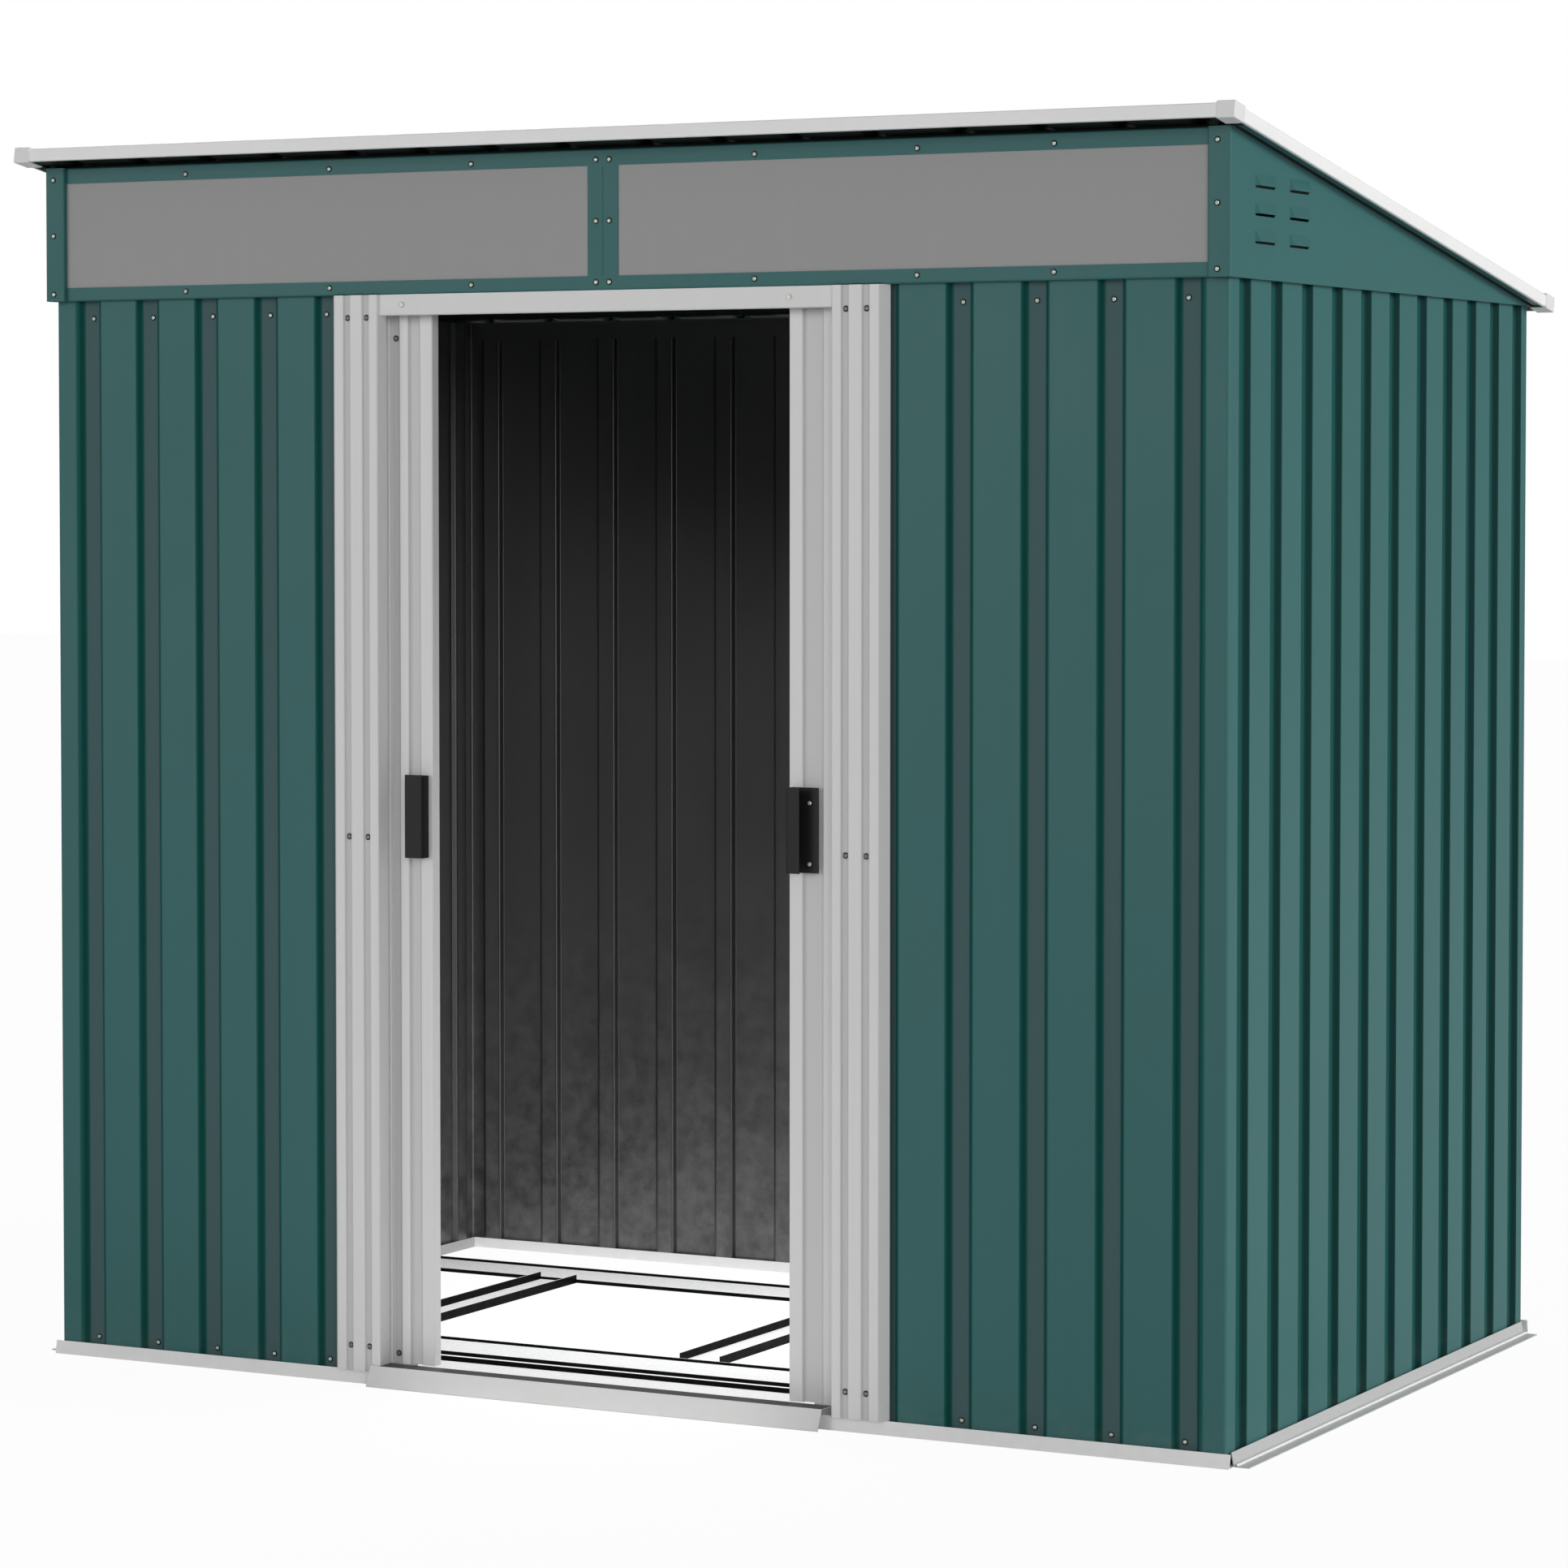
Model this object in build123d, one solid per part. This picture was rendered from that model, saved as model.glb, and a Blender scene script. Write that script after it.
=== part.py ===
"""Metal storage shed with a single-slope roof, a glazed strip over the front and two sliding doors.

Millimetres, +Z up. The origin is on the ground under the middle of the roof. The doors are in the
front, towards -Y, and the roof falls towards the back.
"""
from math import atan, cos, degrees, radians
import os

from build123d import *

# Walls
wall_width = 1940.0
wall_depth = 1223.0
wall_top = 1626.0
sheet = 1.0
corner_return = 30.0
back_corner_return = 22.0
corner_bend = 5.0
overrun = 20.0
seat_gap = 0.3

# Ribs pressed into the wall sheets
rib_pitch = 115.4
groove_width = 38.5
groove_depth = 8.5
groove_slope = 4.0
groove_edge_flat = 4.0
front_right_first_groove = 58.7
front_left_first_groove = 60.0
front_left_pitch = 107.5
side_first_groove = 55.8
side_seam = 800.0
side_rear_first_groove = 60.8
side_rear_pitch = 104.5
back_seam_share = 0.5

# Base rails that stand on the ground and hold the wall sheets
rail_sheet = 1.5
rail_lip_height = 20.0
rail_lip_top_out = 4.0
rail_lip_foot_out = 8.0
rail_inside = 12.0
rail_inner_height = 17.0
rail_end_past_wall = 8.4
rail_foot_out = 30.0

# Floor frame of channels open to the top
floor_rail_width = 112.0
floor_rail_height = 6.0
floor_sill_rail_height = 9.0
floor_sill_y = 99.0
floor_front_y = 261.0
floor_rear_from_back = 273.0
floor_cross_width = 71.0
floor_cross_height = 14.0
floor_cross_from_wall = 334.0
floor_cross_mid_x = -50.0

# Doorway
doorway_half = 376.85
doorway_middle_x = -4.65
jamb_proud = 15.4
jamb_edge_ridge = 14.5
jamb_middle_ridge = 19.7
jamb_groove_width = 13.0
jamb_groove_depth = 5.0
jamb_groove_slope = 3.0
jamb_outer_slope = 11.0
jamb_back_flange = 25.0
panel_tuck = 33.0
header_height = 30.5
header_proud = 9.0
header_back_y = 9.0

# Sill in front of the doorway
sill_top = 30.5
sill_top_out = 17.5
sill_foot_out = 31.0
sill_foot_lift = 1.0
sill_past_left_jamb = 15.5
sill_short_of_right_jamb = 13.2
sill_lip_drop = 22.0

# Sliding doors and the tracks that they run between
leaf_width = 413.0
leaf_behind_header = 22.0
leaf_front_y = 20.0
leaf_depth = 20.0
leaf_groove_depth = 6.0
leaf_groove_slope = 3.0
leaf_edge_flange = 8.0
left_leaf_in_doorway = 73.5
right_leaf_in_doorway = 85.2
left_leaf_groove_shares = (
    (0.051, 0.104), (0.137, 0.181), (0.237, 0.29), (0.46, 0.54), (0.71, 0.763), (0.896, 0.949)
)
right_leaf_groove_shares = ((0.051, 0.134), (0.237, 0.29), (0.46, 0.54), (0.71, 0.763), (0.866, 0.949))
track_short_of_leaf = 17.75
track_width = 24.0
track_height = 24.0
top_track_clearance = 5.0
top_track_drop = 22.0
top_track_rise = 7.0
glide_length = 60.0
glide_width = 16.0
glide_height = 6.0
glide_end_gap = 40.0

# Door handles
handle_height = 122.0
handle_middle_z = 851.0
handle_sheet = 2.0
handle_base = 42.0
handle_reach = 23.0
left_handle_lip = 29.0
right_handle_lip = 22.0
handle_edge_gap = 6.0

# Glazed strip over the front
band_proud = 17.5
band_recess = 7.5
band_past_wall = 8.0
band_lap = 2.5
band_height = 203.3
band_bottom_rail = 20.5
band_top_rail = 24.0
band_stile = 34.0
band_mullion = 51.0
mullion_seam_width = 2.0
mullion_seam_depth = 0.6
window_thickness = 3.0
window_lap = 8.0

# Roof
roof_over_band = 6.2
front_overhang = 64.0
side_overhang = 33.0
back_overhang = 33.0
roof_panel_count = 4
roof_rib_pitch = 121.0
roof_rib_width = 30.0
roof_rib_height = 9.0
roof_rib_slope = 6.0
trim_above = 12.0
trim_below = 8.0
trim_top_flange = 26.0
trim_bottom_flange = 5.0
cap_proud = 2.0
cap_round = 1.6
cap_along_front = 28.0
cap_along_side = 37.0
beam_width = 25.0
beam_height = 22.0
beam_front_y = 12.0
beam_rear_from_back = 145.0
beam_mid_share = 0.5

# Gable sheets with pressed louvres
gable_proud = 8.0
gable_back_height = 5.64
louvre_width = 72.0
louvre_height = 16.0
louvre_out = 6.0
louvre_nose = 2.0
louvre_end_slope = 5.0
louvre_slit = 3.0
louvre_first_y = 106.5
louvre_column_step = 126.2
louvre_columns = 2
louvre_row_shares = (0.245, 0.427, 0.609)

# Rail inside along the top of the back wall
top_rail_drop = 30.0
top_rail_depth = 20.0

# Planes that the pieces share
roof_span = wall_depth + front_overhang + back_overhang
front_y = front_overhang - roof_span / 2
back_y = front_y + wall_depth
middle_y = (front_y + back_y) / 2
half_width = wall_width / 2
groove_back = groove_depth + sheet
jamb_width = 2 * jamb_edge_ridge + jamb_middle_ridge + 2 * jamb_groove_width + jamb_outer_slope
jamb_back_y = leaf_front_y - top_track_clearance - sheet
strip_rail_proud = band_proud - band_recess
band_bottom = wall_top - band_lap
band_top = band_bottom + band_height
header_bottom = band_bottom - header_height
leaf_top = header_bottom + leaf_behind_header
track_half = doorway_half + leaf_width - track_short_of_leaf
roof_under_front = band_top + roof_over_band
slope = (roof_under_front - seat_gap - band_bottom - gable_back_height) / wall_depth
roof_pitch = degrees(atan(slope))
floor_rear_y = wall_depth - floor_rear_from_back
beam_rear_y = wall_depth - beam_rear_from_back

front_wall = Pos(0, front_y, 0)
back_wall = Pos(0, back_y, 0) * Rot(0, 0, 180)
right_wall = Pos(half_width, middle_y, 0) * Rot(0, 0, 90)
at_doorway = Pos(doorway_middle_x, front_y, 0)
roof_edge_y = front_y - front_overhang + cap_proud
roof_edge_z = roof_under_front + (front_overhang - cap_proud) * slope
roof_length = (roof_span - 2 * cap_proud) / cos(radians(roof_pitch))
roof_half = half_width + side_overhang - cap_proud
on_roof = Pos(0, roof_edge_y, roof_edge_z) * Rot(-roof_pitch, 0, 0)

nodes = {}


def folded(points, thickness):
    """Section of a folded sheet: a line and the same line moved left by the thickness, mitred."""
    line = [Vector(*point) for point in points]
    runs = [(end - start).normalized() for start, end in zip(line, line[1:])]
    sides = [Vector(-run.Y, run.X) for run in runs]
    moved = []
    for point, before, after in zip(line, sides[:1] + sides, sides + sides[-1:]):
        moved.append(point + (before + after) * (thickness / (1 + before.dot(after))))
    return make_face(Polyline(*line, *reversed(moved), close=True))


def upright(section, bottom, top):
    """Piece that stands, with its section in plan."""
    return extrude(Pos(0, 0, bottom) * section, amount=top - bottom, dir=(0, 0, 1))


def along_x(section, start, end):
    """Straight piece along X, with its section in (y, z)."""
    return extrude(Plane.YZ.offset(start) * section, amount=end - start, dir=(1, 0, 0))


def block(low, high):
    """Box between two corners."""
    size = Vector(*high) - Vector(*low)
    return Pos(*low) * Box(*size, align=(Align.MIN, Align.MIN, Align.MIN))


def mirrored(piece):
    """The same piece on the other side of the shed."""
    return mirror(piece, about=Plane.YZ)


def ribbed_line(start, grooves, end, width, depth, side_run):
    """Line along x at y = 0 with a groove of the given width and depth at each place."""
    points = [(start, 0)]
    for middle in grooves:
        points.append((middle - width / 2, 0))
        points.append((middle - width / 2 + side_run, depth))
        points.append((middle + width / 2 - side_run, depth))
        points.append((middle + width / 2, 0))
    return points + [(end, 0)]


def wall_line(start, grooves, end):
    """Outer line of a wall sheet."""
    return ribbed_line(start, grooves, end, groove_width, groove_depth, groove_slope)


def groove_row(first, pitch, end):
    """Places from the first groove to the last one that leaves a flat edge before the end."""
    room = end - first - groove_width / 2 - groove_edge_flat
    return [first + i * pitch for i in range(int(room // pitch) + 1)]


def rounded_corner(section, corner, inner):
    """The section with its outer and inner corner bent round."""
    section = fillet(section.vertices().sort_by_distance(corner)[0], corner_bend)
    return fillet(section.vertices().sort_by_distance(inner)[0], corner_bend - sheet)


def add_base_rails():
    """Rails on the ground with an outer lip, a web under the sheets and an inner flange."""
    profile = folded(
        [
            (-rail_lip_top_out, rail_lip_height),
            (-rail_lip_foot_out, 0),
            (rail_inside, 0),
            (rail_inside, rail_inner_height),
        ],
        rail_sheet,
    )
    half = half_width + rail_end_past_wall
    rail = along_x(profile, -half, half)
    for side in (-1, 1):
        ends = sorted((side * (half_width - rail_inside), side * (half + overrun)))
        rail -= block(
            (ends[0], groove_depth, rail_sheet), (ends[1], rail_inside + overrun, rail_inner_height + overrun)
        )
    nodes["base_rail_front"] = front_wall * rail
    nodes["base_rail_back"] = back_wall * rail
    half_run = wall_depth / 2 - rail_inside
    foot = Pos(-rail_foot_out, 0) * Rectangle(rail_foot_out, rail_sheet, align=(Align.MIN, Align.MIN))
    side_rail = right_wall * along_x(profile + foot, -half_run, half_run)
    nodes["base_rail_right"] = side_rail
    nodes["base_rail_left"] = mirrored(side_rail)


def floor_channel(width, height):
    """Section of a channel that lies on the ground, open to the top."""
    half = width / 2
    return folded([(-half, height), (-half, 0), (half, 0), (half, height)], rail_sheet)


def add_floor_frame():
    """Three channels across the floor, the first behind the sill, and three between the other two."""
    reach = half_width - rail_inside
    places = (
        ("sill", floor_sill_y, floor_sill_rail_height),
        ("front", floor_front_y, floor_rail_height),
        ("rear", floor_rear_y, floor_rail_height),
    )
    for name, near, height in places:
        rail = along_x(floor_channel(floor_rail_width, height), -reach, reach)
        nodes[f"floor_rail_{name}"] = Pos(0, front_y + near + floor_rail_width / 2, 0) * rail
    start = front_y + floor_front_y + floor_rail_width
    end = front_y + floor_rear_y
    cross = Rot(0, 0, 90) * along_x(floor_channel(floor_cross_width, floor_cross_height), start, end)
    side_x = half_width - floor_cross_from_wall
    for name, x in (("left", -side_x), ("middle", floor_cross_mid_x), ("right", side_x)):
        nodes[f"floor_cross_{name}"] = Pos(x, 0, 0) * cross


def add_walls():
    """Ribbed sheets that stand in the base rails."""
    reach = doorway_half + jamb_width - panel_tuck
    left_end = doorway_middle_x - reach
    right_end = doorway_middle_x + reach
    outer_end = half_width - corner_return
    left = [x - half_width for x in groove_row(front_left_first_groove, front_left_pitch, half_width + left_end)]
    right = [half_width - x for x in groove_row(front_right_first_groove, rib_pitch, half_width - right_end)]
    left_line = wall_line(-outer_end, left, left_end)
    right_line = wall_line(right_end, reversed(right), outer_end)
    for name, line in (("left", left_line), ("right", right_line)):
        nodes[f"front_panel_{name}"] = front_wall * upright(folded(line, sheet), rail_sheet, wall_top)
    half = wall_depth / 2
    front_grooves = [x - half for x in groove_row(side_first_groove, rib_pitch, side_seam)]
    rear_first = side_seam + side_rear_first_groove
    rear_grooves = [x - half for x in groove_row(rear_first, side_rear_pitch, wall_depth - corner_bend)]
    seam = side_seam - half
    near = folded([(-half, corner_return)] + wall_line(-half, front_grooves, seam), sheet)
    near = rounded_corner(near, (-half, 0), (sheet - half, sheet))
    far = folded(wall_line(seam, rear_grooves, half) + [(half, back_corner_return)], sheet)
    far = rounded_corner(far, (half, 0), (half - sheet, sheet))
    for name, section in (("front", near), ("rear", far)):
        panel = right_wall * upright(section, rail_sheet, wall_top)
        nodes[f"right_panel_{name}"] = panel
        nodes[f"left_panel_{name}"] = mirrored(panel)
    back_end = half_width - back_corner_return
    back_seam = back_seam_share * rib_pitch
    places = groove_row(0, rib_pitch, back_end)
    left_line = wall_line(back_seam, places[1:], back_end)
    right_line = wall_line(-back_end, [-x for x in reversed(places)], back_seam)
    for name, line in (("left", left_line), ("right", right_line)):
        nodes[f"back_panel_{name}"] = back_wall * upright(folded(line, sheet), rail_sheet, wall_top)


def add_back_top_rail():
    """Angle inside along the top of the back wall."""
    section = folded(
        [
            (groove_back, wall_top - top_rail_drop),
            (groove_back, wall_top),
            (groove_back + top_rail_depth, wall_top),
        ],
        -sheet,
    )
    nodes["top_rail_back"] = back_wall * along_x(section, -half_width + groove_back, half_width - groove_back)


def add_doorway():
    """Ribbed jambs, the header between them and the sill in front."""
    outer = doorway_half + jamb_width
    first_groove = doorway_half + jamb_edge_ridge + jamb_groove_width / 2
    ridges = ribbed_line(
        doorway_half,
        [first_groove, first_groove + jamb_groove_width + jamb_middle_ridge],
        outer - jamb_outer_slope,
        jamb_groove_width,
        jamb_groove_depth,
        jamb_groove_slope,
    )
    line = [(x, y - jamb_proud) for x, y in ridges]
    line = [(doorway_half + jamb_back_flange, jamb_back_y), (doorway_half, jamb_back_y)] + line + [(outer, 0)]
    jamb = upright(folded(line, sheet), rail_lip_height, band_bottom)
    nodes["door_jamb_right"] = at_doorway * jamb
    nodes["door_jamb_left"] = at_doorway * mirrored(jamb)
    header = folded(
        [(header_back_y, header_bottom), (-header_proud, header_bottom), (-header_proud, band_bottom)], -sheet
    )
    nodes["door_header"] = at_doorway * along_x(header, -doorway_half, doorway_half)
    apron = folded([(-sill_top_out, sill_top), (-sill_foot_out, sill_foot_lift)], rail_sheet)
    tread = folded(
        [
            (-sill_top_out, sill_top),
            (rail_inside + sheet, sill_top),
            (rail_inside + sheet, sill_top - sill_lip_drop),
        ],
        -sheet,
    )
    sill_left = -doorway_half - sill_past_left_jamb
    sill_right = doorway_half - sill_short_of_right_jamb
    sill = along_x(apron, sill_left, sill_right) + along_x(tread, -doorway_half, sill_right)
    nodes["door_sill"] = at_doorway * sill


def add_tracks():
    """Low track that the glides stand on, and the channel round the tops of the leaves."""
    middle = leaf_front_y + leaf_depth / 2
    near = middle - track_width / 2
    far = middle + track_width / 2
    under = track_height - sheet
    hat = folded([(rail_inside, 0), (near, 0), (near, under), (far, under), (far, 0)], sheet)
    nodes["door_track"] = at_doorway * along_x(hat, -track_half, track_half)
    inside = leaf_front_y - top_track_clearance
    outside = leaf_front_y + leaf_depth + top_track_clearance
    top = leaf_top + top_track_rise
    channel = folded(
        [(inside, top - top_track_drop), (inside, top), (outside, top), (outside, top - top_track_drop)], sheet
    )
    nodes["door_top_track"] = at_doorway * along_x(channel, -track_half, track_half)


def leaf_section(groove_shares):
    """Plan of a leaf from its leading edge at x = 0 to x = leaf_width."""
    line = [(leaf_edge_flange, leaf_depth), (0, leaf_depth), (0, 0)]
    for start, end in groove_shares:
        line.append((start * leaf_width, 0))
        line.append((start * leaf_width + leaf_groove_slope, leaf_groove_depth))
        line.append((end * leaf_width - leaf_groove_slope, leaf_groove_depth))
        line.append((end * leaf_width, 0))
    line += [(leaf_width, 0), (leaf_width, leaf_depth), (leaf_width - leaf_edge_flange, leaf_depth)]
    return folded(line, sheet)


def add_doors():
    """Two leaves with their glides and handles."""
    leaf_bottom = track_height + seat_gap + glide_height
    plate = (Pos(leaf_width / 2, (leaf_groove_depth + leaf_depth) / 2)
             * Rectangle(leaf_width - 2 * sheet, leaf_depth - leaf_groove_depth))
    shares = {"left": left_leaf_groove_shares, "right": right_leaf_groove_shares}
    edges = {"left": left_leaf_in_doorway - doorway_half, "right": doorway_half - right_leaf_in_doorway}
    glide = block(
        (glide_end_gap, (leaf_depth - glide_width) / 2, leaf_bottom - glide_height),
        (glide_end_gap + glide_length, (leaf_depth + glide_width) / 2, leaf_bottom),
    )
    far_glide = Pos(leaf_width - 2 * glide_end_gap - glide_length, 0, 0) * glide
    handle_foot = handle_middle_z - handle_height / 2
    lips = {"left": left_handle_lip, "right": right_handle_lip}
    for side in ("left", "right"):
        handle_line = [
            (handle_edge_gap + handle_base, 0),
            (handle_edge_gap, 0),
            (handle_edge_gap, -handle_reach),
            (handle_edge_gap + lips[side], -handle_reach),
        ]
        handle = upright(folded(handle_line, handle_sheet), handle_foot, handle_foot + handle_height)
        leaf = upright(leaf_section(shares[side]), leaf_bottom, leaf_top)
        leaf += upright(plate, leaf_bottom, leaf_bottom + sheet) + upright(plate, leaf_top - sheet, leaf_top)
        pieces = {"leaf": leaf, "glides": Compound([glide, far_glide]), "handle": handle}
        for name, piece in pieces.items():
            if side == "left":
                piece = mirrored(piece)
            nodes[f"door_{name}_{side}"] = at_doorway * Pos(edges[side], leaf_front_y, 0) * piece


def add_glazed_strip():
    """Rails, stiles and the mullion round two windows over the front."""
    outer = half_width + band_past_wall
    inner = outer - band_stile
    face = -strip_rail_proud
    bottom_rail = folded([(0, band_bottom), (face, band_bottom), (face, band_bottom + band_bottom_rail)], -sheet)
    nodes["strip_rail_bottom"] = front_wall * along_x(bottom_rail, -inner, inner)
    top_rail = folded([(face, band_top - band_top_rail), (face, band_top), (0, band_top)], -sheet)
    nodes["strip_rail_top"] = front_wall * along_x(top_rail, -inner, inner)
    stile = folded([(inner, face + sheet), (inner, -band_proud), (outer, -band_proud), (outer, 0)], sheet)
    stile = front_wall * upright(stile, band_bottom, band_top)
    nodes["strip_stile_right"] = stile
    nodes["strip_stile_left"] = mirrored(stile)
    low = band_bottom + band_bottom_rail
    high = band_top - band_top_rail
    half = band_mullion / 2
    mullion = ribbed_line(-half, [0], half, mullion_seam_width, mullion_seam_depth, mullion_seam_depth)
    mullion = upright(folded(mullion, sheet), low, high)
    nodes["strip_mullion"] = front_wall * Pos(0, face, 0) * mullion
    back_of_frame = face + sheet
    window = block(
        (half - window_lap, back_of_frame, low - window_lap),
        (inner + window_lap, back_of_frame + window_thickness, high + window_lap),
    )
    nodes["window_right"] = front_wall * window
    nodes["window_left"] = mirrored(front_wall * window)


def louvre():
    """Pressed hood, open below, and the opening through the sheet behind it, as two shapes."""
    corner = (Align.MIN, Align.MIN, Align.MIN)
    hood = Wedge(
        louvre_width, louvre_out, louvre_height,
        louvre_end_slope, 0, louvre_width - louvre_end_slope, louvre_nose, align=corner,
    )
    inner_width = louvre_width - 2 * sheet
    hollow = Wedge(
        inner_width, louvre_out - sheet, louvre_height - sheet,
        louvre_end_slope, 0, inner_width - louvre_end_slope, louvre_nose - sheet, align=corner,
    )
    opening = block((sheet, -sheet, -louvre_slit), (louvre_width - sheet, 0, louvre_height - sheet))
    turned = Rot(0, 0, -90) * Pos(-louvre_width / 2, 0, 0)
    return turned * hood, turned * (Pos(sheet, 0, 0) * hollow + opening)


def add_gables():
    """Sheets that close the sides between the walls and the roof, with louvres near the front."""
    outer = half_width + gable_proud
    under_front = roof_under_front - seat_gap
    under_back = under_front - wall_depth * slope
    outline = Polyline(
        (front_y, band_bottom), (back_y, band_bottom), (back_y, under_back), (front_y, under_front), close=True
    )
    gable = along_x(make_face(outline), outer - sheet, outer)
    gable += block((half_width, front_y, band_bottom), (outer, back_y, band_bottom + sheet))
    hood, hollow = louvre()
    for column in range(louvre_columns):
        y = front_y + louvre_first_y + column * louvre_column_step
        for share in louvre_row_shares:
            place = Pos(outer, y, band_bottom + share * (under_front - band_bottom))
            gable = gable + place * hood - place * hollow
    nodes["gable_right"] = gable
    nodes["gable_left"] = mirrored(gable)


def add_roof():
    """Ribbed sheets on three beams, with edge trims and corner caps."""
    inner_half = roof_half - sheet
    width = 2 * inner_half / roof_panel_count
    ribs_per_panel = int(width // roof_rib_pitch)
    for number in range(roof_panel_count):
        start = -inner_half + number * width
        first = start + (width - (ribs_per_panel - 1) * roof_rib_pitch) / 2
        ribs = [first + i * roof_rib_pitch for i in range(ribs_per_panel)]
        line = ribbed_line(start, ribs, start + width, roof_rib_width, roof_rib_height, roof_rib_slope)
        section = Plane.XZ * folded(line, sheet)
        panel = extrude(section, amount=roof_length - 2 * sheet, dir=(0, 1, 0))
        nodes[f"roof_panel_{number + 1}"] = on_roof * Pos(0, sheet, 0) * panel
    edge = folded(
        [(trim_bottom_flange, -trim_below), (0, -trim_below), (0, trim_above), (trim_top_flange, trim_above)],
        -sheet,
    )
    front_trim = along_x(edge, -roof_half, roof_half)
    nodes["roof_trim_front"] = on_roof * front_trim
    nodes["roof_trim_back"] = on_roof * Pos(0, roof_length, 0) * Rot(0, 0, 180) * front_trim
    side_trim = along_x(edge, trim_top_flange, roof_length - trim_top_flange)
    side_trim = on_roof * Pos(roof_half, 0, 0) * Rot(0, 0, 90) * side_trim
    nodes["roof_trim_right"] = side_trim
    nodes["roof_trim_left"] = mirrored(side_trim)
    cap = block(
        (roof_half + cap_proud - cap_along_front, -cap_proud, -trim_below - cap_proud),
        (roof_half + cap_proud, cap_along_side - cap_proud, trim_above + cap_proud),
    )
    cap = fillet(cap.edges(), cap_round) - block(
        (roof_half - cap_along_front - overrun, 0, -trim_below), (roof_half, cap_along_side + overrun, trim_above)
    )
    back_cap = Pos(0, roof_length, 0) * mirror(cap, about=Plane.XZ)
    for name, piece in (("front", on_roof * cap), ("back", on_roof * back_cap)):
        nodes[f"roof_caps_{name}"] = Compound([piece, mirrored(piece)])


def add_beams():
    """Channels across the shed that carry the roof sheets."""
    half = half_width + gable_proud - sheet
    channel = folded(
        [(0, -beam_height), (0, 0), (beam_width, 0), (beam_width, -beam_height)],
        -sheet,
    )
    middle = beam_front_y + beam_mid_share * (beam_rear_y - beam_front_y)
    for name, y in (("front", beam_front_y), ("middle", middle), ("rear", beam_rear_y)):
        along = (front_overhang - cap_proud + y) / cos(radians(roof_pitch))
        nodes[f"roof_beam_{name}"] = on_roof * Pos(0, along, 0) * along_x(channel, -half, half)


add_base_rails()
add_floor_frame()
add_walls()
add_back_top_rail()
add_doorway()
add_tracks()
add_doors()
add_glazed_strip()
add_gables()
add_roof()
add_beams()

os.makedirs("parts", exist_ok=True)
for name, piece in nodes.items():
    export_step(piece, f"parts/{name}.step")
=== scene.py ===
"""Looks of a small metal storage shed: ribbed enamelled sheets, white trims, sliding doors and its screws.

Metres, +Z up. The doors are in the front, towards -Y, and the roof falls towards the back. Thin sheets are
folded lines with round bends, carried along a straight path; screws are one domed surface set at many places.
"""
import math

import bpy
import numpy as np
from bpy.props import FloatProperty, FloatVectorProperty, IntProperty, PointerProperty
from bpy.types import NodeSocket, Operator, Panel, PropertyGroup
from mathutils import Euler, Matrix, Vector


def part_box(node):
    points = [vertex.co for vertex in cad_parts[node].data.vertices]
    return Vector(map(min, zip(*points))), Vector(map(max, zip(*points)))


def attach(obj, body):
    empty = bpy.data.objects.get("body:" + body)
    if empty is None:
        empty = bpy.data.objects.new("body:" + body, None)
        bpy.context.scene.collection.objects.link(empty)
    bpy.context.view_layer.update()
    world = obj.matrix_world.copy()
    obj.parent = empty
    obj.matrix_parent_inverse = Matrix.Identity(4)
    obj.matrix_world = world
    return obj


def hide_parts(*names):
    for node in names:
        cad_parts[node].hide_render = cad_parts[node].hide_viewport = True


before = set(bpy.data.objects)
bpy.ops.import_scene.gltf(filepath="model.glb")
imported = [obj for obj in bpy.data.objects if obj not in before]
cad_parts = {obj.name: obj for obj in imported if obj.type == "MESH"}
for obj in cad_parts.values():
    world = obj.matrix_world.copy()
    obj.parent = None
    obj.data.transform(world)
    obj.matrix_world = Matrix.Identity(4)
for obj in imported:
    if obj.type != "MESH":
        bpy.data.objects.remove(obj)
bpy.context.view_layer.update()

bl_info = {
    "name": "Metal storage shed",
    "version": (1, 0, 0),
    "blender": (4, 5, 0),
    "location": "3D View > Sidebar > Shed",
    "description": "Ribbed sheets, trims, doors, screws and finishes of a small metal shed",
    "category": "Add Mesh",
}

# Planes read from the frame
FRONT_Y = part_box("front_panel_left")[0].y
BACK_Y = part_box("back_panel_left")[1].y
WALL_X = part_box("right_panel_front")[1].x
WALL_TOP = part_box("front_panel_left")[1].z
SIDE_SEAM_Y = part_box("right_panel_rear")[0].y

# Directions, and the two sides with their signs along X
RIGHT = np.array([1.0, 0.0, 0.0])
BACK = np.array([0.0, 1.0, 0.0])
UP = np.array([0.0, 0.0, 1.0])
SIDES = (("left", -1), ("right", 1))

# Share of a run that one bend may take up, and edge lines that make a run a long one
BEND_SHARE = 0.48
LONG_RUN = 3

# Share of a groove's depth that counts as its floor, and edge lines from the outer floors to plain sheet;
# these bound the painted light and shade on the ribs
FLOOR_SLACK = 0.03
RIB_MARGIN = 5

# Start and end of each groove across a door leaf, as shares of its width from its leading edge
LEAF_SHARES = {
    "left": ((0.051, 0.104), (0.137, 0.181), (0.237, 0.29), (0.46, 0.54), (0.71, 0.763), (0.896, 0.949)),
    "right": ((0.051, 0.134), (0.237, 0.29), (0.46, 0.54), (0.71, 0.763), (0.866, 0.949)),
}

# Places of the screws along X; the strip's that are nearer the middle than MULLION_X are on its mullion
STRIP_SCREW_X = (-0.7245, -0.4675, -0.2215, -0.0115, 0.0105, 0.2475, 0.504, 0.7135)
MULLION_X = 0.05
FRONT_SCREW_X = (-0.907, -0.797, -0.688, -0.5845, -0.4845, 0.567, 0.680, 0.796, 0.9065)
HEADER_SCREW_X = (-0.342, 0.302)

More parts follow.
